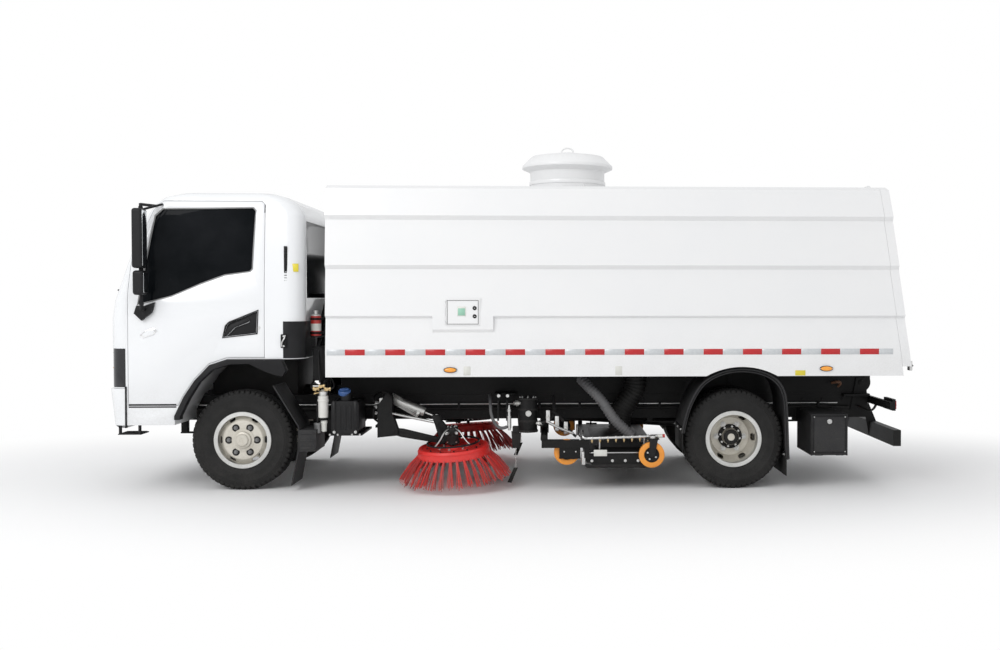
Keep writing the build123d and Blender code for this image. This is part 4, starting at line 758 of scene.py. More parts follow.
def makeCabSideTrim():
    side = sidePoint("cab_shell", -1.7, 1.75).y
    # the black air slot with its louvres behind the door
    parts = [boxPiece((-1.716, side - 0.003, 1.585), (-1.69, side + 0.006, 1.885), 0.003, 2, "trimBlack")]
    for index in range(14):
        z = 1.6 + 0.02 * index
        parts.append(boxPiece((-1.713, side - 0.0065, z), (-1.693, side - 0.001, z + 0.006), 0.0015, 1, "frameBlackAndUndersideShade"))
    seam = sidePoint("bumper", -2.93, 0.65).y
    parts.append(boxPiece((-2.9115, seam + 0.003, 0.5), (-2.9005, seam + 0.03, 0.815), 0.001, 1, "trimBlack"))
    lowSide = sidePoint("cab_shell", -2.7, 0.6).y
    parts.append(boxPiece((-2.888, lowSide - 0.0015, 0.653), (-2.53, lowSide + 0.02, 0.664), 0.001, 1, "trimBlack"))
    # blank sticker, tilt hook and its keep
    side = sidePoint("cab_shell", -1.65, 1.735).y
    parts.append(boxPiece((-1.668, side - 0.0012, 1.69), (-1.608, side + 0.004, 1.752), 0.0006, 1, "signYellow"))
    side = sidePoint("cab_trim", -1.69, 1.16).y
    parts += [
        boxPiece((-1.738, side - 0.01, 1.108), (-1.69, side + 0.006, 1.212), 0.005, 2, "frameBlackAndUndersideShade"),
        tubePiece([(-1.728, side - 0.012, 1.12), (-1.728, side - 0.026, 1.15), (-1.704, side - 0.026, 1.18),
            (-1.702, side - 0.012, 1.204)], 0.005, "bareSteel", True, 8, 4),
    ]
    for z in (1.122, 1.198):
        parts.append(boltPiece((-1.714, side - 0.01, z), "y", 0.006, 0.006, "bareSteel", stud=False))
    return parts


def makeRepeater():
    # bright side badge field left blank, with its white inset
    point = sidePoint("door_left", -2.735, 1.22)
    outline = [(-2.8, 1.205), (-2.775, 1.182), (-2.7, 1.205), (-2.668, 1.238), (-2.69, 1.262), (-2.76, 1.24)]
    shell = platePiece(outline, "y", point.y - 0.005, point.y + 0.006, 0.003, "chromed")
    inset = platePiece([(x * 0.72 - 2.735 * 0.28, z * 0.72 + 1.222 * 0.28) for x, z in outline], "y",
        point.y - 0.0065, point.y - 0.004, 0.001, "cabWhite")
    return [shell, inset]


def makeMirrorGlass():
    parts = []
    for low, high in (((-2.7135, -1.121, 1.728), (-2.7105, -1.029, 2.143)),
            ((-2.7095, -1.116, 1.53), (-2.7065, -1.026, 1.676))):
        parts.append(boxPiece(low, high, 0.0012, 2, "mirrorGlass"))
    for z in (1.8, 2.06):
        parts.append(boxPiece((-2.768, -1.06, z - 0.03), (-2.738, -1.01, z + 0.03), 0.006, 2, "trimBlack"))
    for z in (1.445, 1.705, 2.165):
        parts.append(turnPiece([(-0.012, 0.0165), (0.012, 0.0165)], (-2.752, -1.04, z), "z", 24, finish="trimBlack"))
    return parts


def makeHeadlampLens():
    parts = []
    for y, z, radius in ((-0.7, 1.03, 0.036), (-0.792, 1.024, 0.036), (-0.7, 0.9, 0.026), (-0.792, 0.9, 0.026)):
        point = frontPoint("headlamps", y, z)
        ring = turnPiece([(0.012, radius + 0.007), (-0.002, radius + 0.007), (-0.004, radius + 0.004),
            (-0.003, radius), (0.004, radius - 0.002)], point, "x", 40, capEnds=False, finish="chromed")
        lens = turnPiece([(0.006, radius), (0.0, radius), (-0.006, radius * 0.8), (-0.01, radius * 0.45),
            (-0.011, 0.0)], point, "x", 40, finish="lampClear", smooth=40)
        parts += [ring, lens]
    strip = [frontPoint("headlamps", y, z) + Vector((-0.001, 0, 0)) for y,
        z in ((-0.6, 1.078), (-0.69, 1.08), (-0.78, 1.078), (-0.86, 1.07))]
    strip = tubePiece([tuple(point) for point in strip], 0.0055, "labelPale", True, 8, 5)
    amber = [frontPoint("headlamps", y, 0.955) for y in (-0.66, -0.73, -0.8, -0.86)]
    amber = tubePiece([tuple(point) for point in amber], 0.007, "amber", True, 8, 5)
    return parts + [strip, amber]


def makeCabFront():
    parts = []
    # wipers, lying along the foot of the screen
    for y, reach in ((0.42, -0.62), (-0.3, -0.56)):
        foot = frontPoint("cab_shell", y, cab["wiperFoot"] - 0.03)
        pivot = turnPiece([(0.01, 0.016), (-0.016, 0.016), (-0.02, 0.012), (-0.02, 0.0)], foot, "x", 24,
            finish="trimBlack")
        route, blade = [tuple(foot + Vector((-0.018, 0, 0)))], []
        for share in (0.35, 0.7, 1.0):
            point = frontPoint("cab_glass", y + reach * share, 1.5 + 0.05 * share)
            route.append((point.x - 0.02, point.y, point.z))
        for share in (-0.05, 0.25, 0.55, 0.85, 1.1):
            point = frontPoint("cab_glass", y + reach * (0.45 + share * 0.5), 1.515)
            blade.append((point.x - 0.008, point.y, point.z))
        parts += [
            pivot,
            tubePiece(route, 0.0065, "trimBlack", True, 8, 4),
            tubePiece(blade, 0.006, "trimBlack", True, 6, 3),
        ]
    # dark band under the screen, vents of the cowl
    for index in range(22):
        y = -0.74 + 1.48 * index / 21
        point = frontPoint("cab_shell", y, 1.395)
        parts.append(boxPiece((point.x - 0.002, y - 0.022, 1.388), (point.x + 0.008, y + 0.022, 1.402), 0.001, 1,
            "trimBlack"))
    # fog lamps and the intake slats of the bumper
    for side in (-1, 1):
        point = frontPoint("bumper", side * 0.69, 0.62)
        bezel = turnPiece([(0.01, 0.062), (-0.004, 0.062), (-0.007, 0.056), (-0.002, 0.046)], point, "x", 40,
            capEnds=False)
        lens = turnPiece([(0.006, 0.046), (-0.003, 0.045), (-0.008, 0.028), (-0.009, 0.0)], point, "x", 40)
        parts += [paintWith(bezel, "trimBlack"), paintWith(lens, "lampClear")]
    for index in range(4):
        z = 0.57 + 0.036 * index
        route = [tuple(frontPoint("bumper", y, z)) for y in (-0.5, -0.34, -0.17, 0, 0.17, 0.34, 0.5)]
        parts.append(tubePiece(route, 0.008, "trimBlack", True, 6, 4))
    return parts


def makeStepTreads():
    parts = []
    for index in range(9):
        y = -0.93 + 0.0185 * index
        parts.append(boxPiece((-2.965, y, 0.4535), (-2.812, y + 0.006, 0.4575), 0.001, 1, "trimBlack"))
    return parts


settlePair(makeWindowSeal() + makeRepeater(), "doorTrim", "cab_door_{}")
settlePair(makeCabSideTrim() + makeStepTreads() + makeHeadlampLens(), "cabSideTrim", "cab")
settlePair(makeMirrorGlass(), "mirrorGlass", bodyOf["mirror_left"].replace("_left", "_{}"))
joinPieces(makeCabFront(), "cabFrontTrim", "cab")
print("cab done")


# Debris container

box = {"weld": 0.00005, "flatness": 0.8, "rounding": 0.005, "edgeAngle": 20, "paintedShadeFront": -1.38,
    "paintedShadeRear": 3.0, "flatArea": 0.004, "paintedShadeY": 1.036, "paintedShadeZ": 0.968, "wallY": -1.046,
    "stripLow": 1.054, "stripHigh": 1.0985, "stripFront": -1.375, "stripRear": 2.969, "firstRed": -1.237,
    "pitch": 0.3035, "red": 0.15, "film": 0.0012}


def makeContainerShell():
    # the eight welded solids as one skin, so that no joint between them shows
    piece = copyNode("container", "containerShell")
    bpy.ops.object.mode_set(mode="OBJECT")
    makeActive(piece)
    bpy.ops.object.mode_set(mode="EDIT")
    bpy.ops.mesh.select_all(action="SELECT")
    bpy.ops.mesh.intersect_boolean(operation="UNION", use_self=True, solver="EXACT")
    bpy.ops.mesh.select_all(action="SELECT")
    bpy.ops.mesh.remove_doubles(threshold=box["weld"])
    bpy.ops.mesh.dissolve_limited(angle_limit=math.radians(box["flatness"]))
    bpy.ops.object.mode_set(mode="OBJECT")
    addBevel(piece, box["rounding"], 2, box["edgeAngle"])
    smoothPiece(piece, dressing["smoothAngle"])
    flattenPanels(piece, box["flatArea"])
    piece.data.materials.append(finishes["boxWhite"])
    # the second slot puts the black frame paint on the container's underside as painted shade
    piece.data.materials.append(finishes["frameBlackAndUndersideShade"])
    # faces below the floor and between the side skirts take the black as painted shade for the shadow under the body
    for face in piece.data.polygons:
        x, y, z = face.center
        inward = abs(y) < box["paintedShadeY"] and box["paintedShadeFront"] < x < box["paintedShadeRear"]
        face.material_index = 1 if inward and z < box["paintedShadeZ"] else 0
    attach(piece, "container_body")
    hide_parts("container")
    modelledApart.add("container")


def makeStrips():
    parts = []
    wall, film = box["wallY"], box["film"]
    place = box["stripFront"]
    edges = []
    index = 0
    while box["firstRed"] + box["pitch"] * index < box["stripRear"]:
        start = box["firstRed"] + box["pitch"] * index
        edges.append((place, start, "reflectSilver"))
        edges.append((start, min(start + box["red"], box["stripRear"]), "reflectRed"))
        place = start + box["red"]
        index += 1
    if place < box["stripRear"]:
        edges.append((place, box["stripRear"], "reflectSilver"))
    for low, high, finish in edges:
        parts.append(boxPiece((low + 0.0006, wall - film, box["stripLow"]),
            (high - 0.0006, wall + 0.002, box["stripHigh"]), 0.0004, 1, finish))
    return parts


def makeMarkerLamps():
    parts = []
    wall = box["wallY"]
    for x, z in ((-0.442, 0.941), (2.447, 0.945)):
        base = turnPiece([(0.004, 0.03), (-0.006, 0.03), (-0.008, 0.027), (-0.008, 0.0)], (x, wall, z), "y", 40)
        lens = turnPiece([(-0.006, 0.0245), (-0.015, 0.0235), (-0.02, 0.018), (-0.022, 0.009), (-0.0225, 0.0)],
            (x, wall, z), "y", 40)
        paintWith(base, "trimBlack")
        paintWith(lens, "amber")
        for piece, stretch in ((base, 1.75), (lens, 1.85)):
            piece.data.transform(Matrix.Translation((x, 0, z)) @ Matrix.Diagonal((stretch, 1, 0.72,
                1)) @ Matrix.Translation((-x, 0, -z)))
            smoothPiece(piece, 35)
        parts += [base, lens]
        for side in (-1, 1):
            parts.append(turnPiece([(-0.007, 0.004), (-0.0095, 0.0035), (-0.0095, 0.0)], (x + side * 0.049, wall, z),
                "y", 12, finish="bareSteel"))
    # blank stickers where the photo has signs
    for x, z, high, wide, finish in ((-0.315, 0.934, 0.034, 0.026, "labelPale"),
            (0.842, 0.934, 0.034, 0.026, "labelPale"), (2.245, 0.912, 0.02, 0.04, "signYellow")):
        parts.append(boxPiece((x - wide, wall - box["film"], z - high), (x + wide, wall + 0.002, z + high), 0.0004, 1,
            finish))
    return parts


def borderBars(low, high, wide, outer, inner, rounding, finish):
    # four bars round a lid in the x,z plane: bottom, top, front, rear
    corners = ((low, (high[0], low[1] + wide)), ((low[0], high[1] - wide), high), (low, (low[0] + wide, high[1])),
        ((high[0] - wide, low[1]), high))
    return [boxPiece((first[0], outer, first[1]), (last[0], inner, last[1]), rounding, 2, finish) for first,
        last in corners]


def makeHatchTrim():
    front = -1.0545
    # raised border, two turn latches, a blank label
    parts = borderBars((-0.466, 1.288), (-0.226, 1.473), 0.005, front - 0.0015, front + 0.002, 0.0012, "sealGrey")
    for z in (1.35, 1.412):
        cup = turnPiece([(0.004, 0.0155), (-0.002, 0.0155), (-0.0035, 0.0135), (-0.0035, 0.009), (0.0, 0.008),
            (0.0, 0.0)], (-0.256, front, z), "y", 32)
        key = boxPiece((-0.263, front - 0.003, z - 0.002), (-0.249, front + 0.001, z + 0.002), 0.0008, 1, "bareSteel")
        parts += [paintWith(cup, "trimBlack"), key]
    parts += [
        boxPiece((-0.388, front - 0.0012, 1.35), (-0.322, front + 0.002, 1.424), 0.0005, 1, "labelPale"),
        boxPiece((-0.382, front - 0.0016, 1.356), (-0.328, front + 0.0015, 1.411), 0.0004, 1, "labelGreen"),
    ]
    return parts


def makeOutletTrim():
    centre = Vector((0.466, 0, 0))
    bolt = boltPiece((centre.x + 0.352, 0, 2.604), "z", 0.01, 0.01, "bareSteel", outward=1)
    parts = ringOf(bolt, 16, centre, "z", 0.1)
    collar = turnPiece([(2.35, 0.36), (2.362, 0.36), (2.366, 0.355), (2.37, 0.326), (2.362, 0.318), (2.35, 0.318)],
        centre, "z", 80, closed=True)
    band = turnPiece([(2.448, 0.316), (2.448, 0.3235), (2.452, 0.325), (2.474, 0.325), (2.478, 0.3235),
        (2.478, 0.316)], centre, "z", 80, closed=True)
    for piece in (collar, band):
        parts.append(paintWith(piece, "boxWhite"))
        smoothPiece(piece, 30)
    bolt = boltPiece((centre.x + 0.343, 0, 2.366), "z", 0.008, 0.008, "bareSteel", outward=1, stud=False)
    parts += ringOf(bolt, 16, centre, "z", 0.2)
    for turn in (0, math.pi / 2, math.pi, -math.pi / 2):
        gusset = platePiece([(0.3, 2.352), (0.352, 2.352), (0.326, 2.44), (0.3, 2.44)], "y", -0.003, 0.003, 0.001,
            "boxWhite")
        gusset.data.transform(Matrix.Translation(centre) @ Matrix.Rotation(turn + 0.4, 4, "Z"))
        parts.append(gusset)
    # lifting eye and the seam of the lid
    eye = tubePiece([(centre.x - 0.05, 0, 2.738), (centre.x - 0.045, 0, 2.762), (centre.x, 0, 2.775),
        (centre.x + 0.045, 0, 2.762), (centre.x + 0.05, 0, 2.738)], 0.007, "boxWhite", True, 10, 6)
    return parts + [eye]


def makeGateTrim():
    parts = []
    # the gate's outer face leans, so its fittings are set on it by a line cast from behind
    for y in (-0.62, 0.62):
        for z in (1.12, 1.62, 2.05):
            point = rearPoint("tailgate", y, z)
            parts.append(boxPiece((point.x - 0.006, y - 0.028, z - 0.03), (point.x + 0.034, y + 0.028, z + 0.03),
                0.006, 2, "boxWhite"))
    for z in (1.2, 1.55, 1.9):
        route = [rearPoint("tailgate", y, z) for y in (-0.95, 0, 0.95)]
        low, high = route[0].x, route[0].x + 0.03
        outline = [(low - 0.01, z - 0.032), (high - 0.014, z - 0.022), (high - 0.018, z + 0.02),
            (low - 0.018, z + 0.032)]
        parts.append(platePiece(outline, "y", -0.955, 0.955, 0.004, "boxWhite"))
    for index in range(6):
        start = -0.9 + 0.306 * index
        point = rearPoint("tailgate", start, 1.03)
        finish = "reflectRed" if index % 2 == 0 else "reflectSilver"
        parts.append(boxPiece((point.x - 0.004, start, 1.01), (point.x + 0.004, start + 0.27, 1.055), 0.0005, 1,
            finish))
    # latches at the lower corners
    for side in (-1, 1):
        y = side * 0.985
        point = rearPoint("tailgate", y, 0.97)
        parts += [
            boxPiece((point.x - 0.004, y - 0.03, 0.925), (point.x + 0.02, y + 0.03, 1.0), 0.005, 2, "bareSteel"),
            boltPiece((point.x + 0.018, y, 0.962), "x", 0.011, 0.011, "castIron", outward=1),
        ]
    return parts


makeContainerShell()
settlePair(makeStrips(), "reflectiveStrip", "container_body")
settlePair(makeMarkerLamps(), "markerLamps", "container_body")
joinPieces(makeHatchTrim(), "hatchTrim", "hatch_lid")
joinPieces(makeOutletTrim(), "outletTrim", "container_body")
joinPieces(makeGateTrim(), "gateTrim", "rear_gate")
print("container done")


# Tanks, hydraulics and sweeping gear under the body

def ribbedHose(points, radius, pitch, finish, ribRadius=0.006):
    core = tubePiece(points, radius, finish, True, 20, 10)
    route = tubePiece(points, 0.0005, None, True, 4, 24)
    line = [Vector(vertex.co) for vertex in route.data.vertices]
    bpy.data.objects.remove(route)
    ring = len(line) // (len(line) // 4)
    centres = [sum(line[index:index + ring], Vector()) / ring for index in range(0, len(line) - ring + 1, ring)]
    parts, walked = [core], 0.0
    for before, after in zip(centres, centres[1:]):
        walked += (after - before).length
        if walked < pitch or (after - before).length < 1e-5:
            continue
        walked = 0.0
        clearSelection()
        bpy.ops.mesh.primitive_torus_add(major_segments=24, minor_segments=6, major_radius=radius,
            minor_radius=ribRadius, location=after, rotation=(after - before).to_track_quat("Z", "Y").to_euler())
        piece = bpy.context.object
        bpy.ops.object.transform_apply(location=True, rotation=True, scale=True)
        smoothPiece(piece, 60)
        parts.append(paintWith(piece, finish))
    return parts


def collarPiece(centre, axis, radius, half, finish, lip=0.004):
    return turnPiece([(-half, radius), (-half, radius + lip), (-half * 0.5, radius + lip * 1.6),
        (half * 0.5, radius + lip * 1.6), (half, radius + lip), (half, radius)], centre, axis, 32, closed=True,
        finish=finish, smooth=30)


def makeUreaTank():
    parts = [
        turnPiece([(0.0, 0.036), (0.004, 0.0425), (0.016, 0.044), (0.034, 0.044), (0.038, 0.041), (0.039, 0.02),
            (0.041, 0.018), (0.041, 0.0)], (0, 0, 0), "z", 48, finish="blueCap", smooth=30),
    ]
    rib = boxPiece((0.0425, -0.0022, 0.006), (0.0462, 0.0022, 0.034), 0.001, 1, "blueCap")
    parts += ringOf(rib, 24, (0, 0, 0), "z")
    parts.append(boxPiece((-0.034, -0.006, 0.038), (0.034, 0.006, 0.05), 0.003, 2, "blueCap"))
    lean = (Matrix.Translation((-1.276, -0.842, 0.742)) @ leanTo((-0.05, -0.42, 1)))
    for piece in parts:
        piece.data.transform(lean)
    # straps with their tension bolts, moulded ribs and the shelf's bolts
    for x in (-1.352, -1.188):
        parts += [
            boxPiece((x - 0.013, -0.8855, 0.432), (x + 0.013, -0.8815, 0.69), 0.0012, 1, "armBlack"),
            boxPiece((x - 0.013, -0.884, 0.6885), (x + 0.013, -0.56, 0.6935), 0.0012, 1, "armBlack"),
            boltPiece((x, -0.886, 0.452), "y", 0.009, 0.01, "bareSteel"),
        ]
    for x in (-1.31, -1.27, -1.23):
        parts.append(boxPiece((x - 0.01, -0.8835, 0.47), (x + 0.01, -0.8795, 0.655), 0.0015, 2, "trimBlack"))
    for x in (-1.385, -1.325, -1.215, -1.155):
        parts.append(boltPiece((x, -0.88, 0.432), "y", 0.008, 0.009, "bareSteel"))
    parts.append(boxPiece((-1.4, -0.884, 0.424), (-1.14, -0.878, 0.441), 0.002, 1, "frameBlackAndUndersideShade"))
    return parts


def makeFilterBowl():
    x, y = -1.441, -0.85
    parts = [
        turnPiece([(0.543, 0.0), (0.543, 0.02), (0.548, 0.03), (0.556, 0.0365), (0.58, 0.0382), (0.684, 0.0385),
            (0.69, 0.0425), (0.704, 0.0425), (0.708, 0.0385), (0.731, 0.0385), (0.731, 0.0)], (x, y, 0), "z", 40,
            finish="filterWhite", smooth=30),
        turnPiece([(0.731, 0.03), (0.748, 0.034), (0.764, 0.034), (0.77, 0.026), (0.782, 0.014), (0.782, 0.0)],
            (x, y, 0), "z", 32, finish="castAlloy"),
        turnPiece([(0.452, 0.0), (0.452, 0.014), (0.458, 0.02), (0.515, 0.022), (0.52, 0.025), (0.543, 0.025),
            (0.543, 0.0)], (x + 0.006, y, 0), "z", 32, finish="labelPale", smooth=30),
        turnPiece([(0.44, 0.0), (0.44, 0.019), (0.446, 0.026), (0.5, 0.027), (0.504, 0.029), (0.52, 0.029),
            (0.52, 0.0)], (x - 0.046, y + 0.01, 0), "z", 32, finish="sealGrey", smooth=30),
    ]
    # valves: bodies, levers, black hoses and a bent copper-coloured pipe
    for shift, height in ((-0.052, 0.786), (-0.01, 0.806), (0.036, 0.784)):
        parts += [
            turnPiece([(-0.024, 0.01), (-0.024, 0.015), (-0.012, 0.015), (-0.012, 0.011), (0.012, 0.011),
                (0.012, 0.015), (0.024, 0.015), (0.024, 0.01)], (x + shift, y - 0.006, height), "x", 6, closed=False,
                finish="brassFitting"),
            turnPiece([(0.0, 0.007), (-0.03, 0.007), (-0.03, 0.012), (-0.036, 0.012), (-0.036, 0.0)],
                (x + shift, y - 0.012, height), "y", 16, finish="brassFitting"),
        ]
    parts.append(boxPiece((x - 0.07, y - 0.052, 0.806), (x - 0.022, y - 0.042, 0.816), 0.002, 1, "filterWhite"))
    for route in (((x - 0.076, y, 0.786), (x - 0.095, y, 0.79), (x - 0.1, y + 0.05, 0.83),
            (x - 0.08, y + 0.16, 0.86)), ((x + 0.06, y, 0.784), (x + 0.082, y, 0.79), (x + 0.08, y + 0.04, 0.826),
            (x + 0.03, y + 0.16, 0.85)), ((x, y, 0.8), (x + 0.004, y + 0.03, 0.842), (x + 0.02, y + 0.1, 0.852),
            (x + 0.02, y + 0.2, 0.84)), ((x - 0.045, y + 0.01, 0.52), (x - 0.05, y + 0.02, 0.6),
            (x - 0.058, y + 0.06, 0.7), (x - 0.05, y + 0.12, 0.8))):
        parts.append(tubePiece(list(route), 0.0075, "hoseRubber", True, 8, 6))
    parts.append(tubePiece([(x - 0.02, y, 0.76), (x - 0.06, y - 0.02, 0.752), (x - 0.075, y, 0.74),
        (x - 0.06, y + 0.02, 0.765)], 0.006, "brassFitting", True, 8, 5))
    return parts


def makeBehindCab():
    # finned cooler, gas bottle with its bands, wiring and pipes on the rack
    parts = []
    for index in range(17):
        y = -0.752 + 0.0215 * index
        parts.append(boxPiece((-1.5395, y, 0.85), (-1.456, y + 0.006, 1.104), 0.001, 1, "trimBlack"))
    for z in (0.846, 1.1):
        parts.append(boxPiece((-1.542, -0.765, z), (-1.454, -0.394, z + 0.01), 0.002, 1, "frameBlackAndUndersideShade"))
    parts.append(boxPiece((-1.4975, -0.4, 0.702), (-1.4915, 0.4, 0.935), 0.001, 1, "frameBlackAndUndersideShade"))
    x, y = -1.526, -0.7
    for low, high, radius, finish in ((1.193, 1.232, 0.0412, "cylinderRed"), (1.232, 1.288, 0.0408, "labelPale"),
            (1.288, 1.349, 0.0412, "cylinderRed")):
        parts.append(turnPiece([(low, 0.0), (low, radius), (high, radius), (high, 0.0)], (x, y, 0), "z", 40,
            finish=finish, smooth=30))
    parts.append(turnPiece([(1.349, 0.041), (1.358, 0.036), (1.364, 0.018), (1.38, 0.016), (1.38, 0.02),
        (1.392, 0.02), (1.392, 0.0)], (x, y, 0), "z", 32, finish="castAlloy", smooth=30))
    for z in (1.215, 1.325):
        parts += [
            collarPiece((x, y, z), "z", 0.0405, 0.009, "frameBlackAndUndersideShade", 0.002),
            boxPiece((x - 0.012, y, z - 0.008), (x + 0.055, y + 0.31, z + 0.008), 0.002, 1, "frameBlackAndUndersideShade"),
        ]
    for shift, radius in ((0.0, 0.01), (0.022, 0.008), (0.044, 0.012), (0.066, 0.007)):
        parts.append(tubePiece([(-1.52 + shift, -0.5 - shift, 0.74), (-1.545 + shift, -0.56 - shift, 1.02),
            (-1.535 + shift, -0.52 - shift, 1.3), (-1.5 + shift, -0.42, 1.46)], radius, "hoseRubber", True, 8, 8))
    parts.append(tubePiece([(-1.475, -0.8, 0.83), (-1.49, -0.79, 0.95), (-1.5, -0.74, 1.15), (-1.49, -0.6, 1.2)],
        0.009, "hoseRubber", True, 8, 8))
    return parts


def makeTurretGear():
    # manifold, fittings and hoses on the brush's turret
    parts = [boxPiece((-1.035, -0.7, 0.64), (-0.975, -0.64, 0.7), 0.004, 2, "castAlloy")]
    for x, z in ((-1.04, 0.662), (-1.042, 0.628), (-1.044, 0.58)):
        parts.append(turnPiece([(0.0, 0.01), (-0.012, 0.01), (-0.012, 0.014), (-0.026, 0.014), (-0.026, 0.009),
            (-0.034, 0.009), (-0.034, 0.0)], (x, -0.69, z), "x", 6, finish="bareSteel"))
    for route in (((-1.066, -0.69, 0.662), (-1.08, -0.7, 0.67), (-1.082, -0.66, 0.72), (-1.04, -0.58, 0.735)),
            ((-1.066, -0.69, 0.628), (-1.08, -0.716, 0.6), (-1.076, -0.7, 0.52), (-1.02, -0.62, 0.49)),
            ((-1.0, -0.69, 0.7), (-1.01, -0.73, 0.745), (-0.96, -0.77, 0.755), (-0.93, -0.8, 0.715))):
        parts.append(tubePiece(list(route), 0.009, "hoseRubber", True, 10, 8))
    return parts


def makeRamRings():
    # the lift cylinder's ribbed guard and gland
    low, high = Vector((-0.949, -0.662, 0.702)), Vector((-0.715, -0.662, 0.567))
    lean = leanTo((high - low).normalized())
    fin = boxPiece((0.0335, -0.0028, 0.02), (0.0385, 0.0028, 0.24), 0.001, 1, "castAlloy")
    parts = ringOf(fin, 18, (0, 0, 0), "z")
    for along in (0.01, 0.252):
        parts.append(turnPiece([(along - 0.01, 0.034), (along - 0.01, 0.0405), (along + 0.01, 0.0405),
            (along + 0.01, 0.034)], (0, 0, 0), "z", 40, closed=True, finish="castAlloy"))
    for piece in parts:
        piece.data.transform(Matrix.Translation(low) @ lean)
    return parts


def makeSuctionGear():
    parts = []
    # wander hose with its bright end, water cylinder and rubber flap on a chain
    parts += [
        tubePiece([(-0.17, -0.6, 0.715), (-0.158, -0.72, 0.69), (-0.15, -0.77, 0.56), (-0.1, -0.78, 0.47),
            (-0.045, -0.775, 0.462), (-0.022, -0.768, 0.475)], 0.0125, "hoseGrey", True, 12, 10),
        turnPiece([(0.445, 0.0), (0.445, 0.01), (0.462, 0.011), (0.462, 0.0165), (0.56, 0.0165), (0.56, 0.012),
            (0.59, 0.012), (0.592, 0.017), (0.612, 0.017), (0.615, 0.012), (0.645, 0.007), (0.645, 0.0)],
            (-0.006, -0.76, 0), "z", 32, finish="bareSteel", smooth=30),
    ]
    for x in (-0.09, -0.02):
        post = tubePiece([(x, -0.56, 0.72), (x, -0.72, 0.715), (x - 0.004, -0.75, 0.66), (x - 0.004, -0.75, 0.52)],
            0.008, "armBlack", True, 8, 6)
        fitting = turnPiece([(-0.018, 0.009), (-0.018, 0.014), (0.018, 0.014), (0.018, 0.009)], (x, -0.72, 0.716),
            "y", 6)
        parts += [post, paintWith(fitting, "bareSteel")]
    parts += [
        boxPiece((-0.13, -0.56, 0.7), (0.04, -0.4, 0.724), 0.003, 2, "frameBlackAndUndersideShade"),
        platePiece([(0.01, 0.44), (0.085, 0.425), (0.08, 0.3), (0.02, 0.305)], "y", -0.765, -0.757, 0.002,
            "hoseRubber"),
        boxPiece((0.02, -0.775, 0.425), (0.075, -0.745, 0.48), 0.006, 2, "armBlack"),
    ]
    for index in range(9):
        z = 0.298 - 0.018 * index
        link = tubePiece([(0.045, -0.762, z + 0.01), (0.051, -0.762, z), (0.045, -0.762, z - 0.01),
            (0.039, -0.762, z)] if index % 2 else [(0.045, -0.762, z + 0.01), (0.045, -0.756, z),
            (0.045, -0.762, z - 0.01), (0.045, -0.768, z)], 0.0022, "bareSteel", True, 6, 4, closed=True)
        parts.append(link)
    parts.append(platePiece([(0.03, 0.15), (0.062, 0.15), (0.012, 0.03), (-0.022, 0.034)], "y", -0.766, -0.758, 0.002,
        "hoseRubber"))
    # pump: flanges, cover bolts, pipe connections and a hose
    x, y = 0.14, -0.74
    for z, radius in ((0.44, 0.081), (0.52, 0.079), (0.61, 0.079), (0.694, 0.081)):
        parts.append(collarPiece((x, y, z), "z", 0.072, 0.009, "castIron", radius - 0.075))
    bolt = boltPiece((x + 0.062, y, 0.698), "z", 0.007, 0.008, "bareSteel", outward=1)
    parts += ringOf(bolt, 8, (x, y, 0), "z")
    for turn in (0.3, 1.5, 2.6):
        spout = turnPiece([(0.07, 0.016), (0.09, 0.016), (0.09, 0.023), (0.104, 0.023), (0.104, 0.014),
            (0.125, 0.014)], (0, 0, 0), "x", 16)
        spout.data.transform(Matrix.Translation((x, y, 0.48 + 0.07 * turn)) @ Matrix.Rotation(-turn, 4, "Z"))
        parts.append(paintWith(spout, "castAlloy"))
    parts.append(tubePiece([(x + 0.11, y - 0.04, 0.505), (x + 0.18, y - 0.06, 0.52), (x + 0.22, y - 0.03, 0.6),
        (x + 0.2, y + 0.06, 0.71)], 0.014, "hoseRubber", True, 12, 8))
    # links and control rod of the nozzle's lifting gear
    for x, z, high in ((0.3, 0.56, 0.1), (0.37, 0.505, 0.12), (0.44, 0.47, 0.1)):
        parts += [
            boxPiece((x - 0.016, -0.83, z - high * 0.5), (x + 0.016, -0.812, z + high * 0.5), 0.005, 2, "bareSteel"),
            boltPiece((x, -0.832, z), "y", 0.013, 0.012, "castAlloy"),
        ]
    parts += [
        tubePiece([(0.29, -0.825, 0.52), (0.385, -0.825, 0.47), (0.5, -0.83, 0.425)], 0.011, "bareSteel", False, 12),
        tubePiece([(0.33, -0.8, 0.6), (0.4, -0.8, 0.56), (0.47, -0.8, 0.44), (0.52, -0.82, 0.4)], 0.01, "hoseRubber",
            True, 10, 8),
    ]
    # grey curved hose to the nozzle's front
    parts += ribbedHose([(0.56, -0.72, 0.85), (0.61, -0.795, 0.8), (0.72, -0.815, 0.69), (0.8, -0.815, 0.56),
        (0.87, -0.812, 0.48), (0.957, -0.805, 0.408)], 0.038, 0.021, "hoseGrey")
    return parts


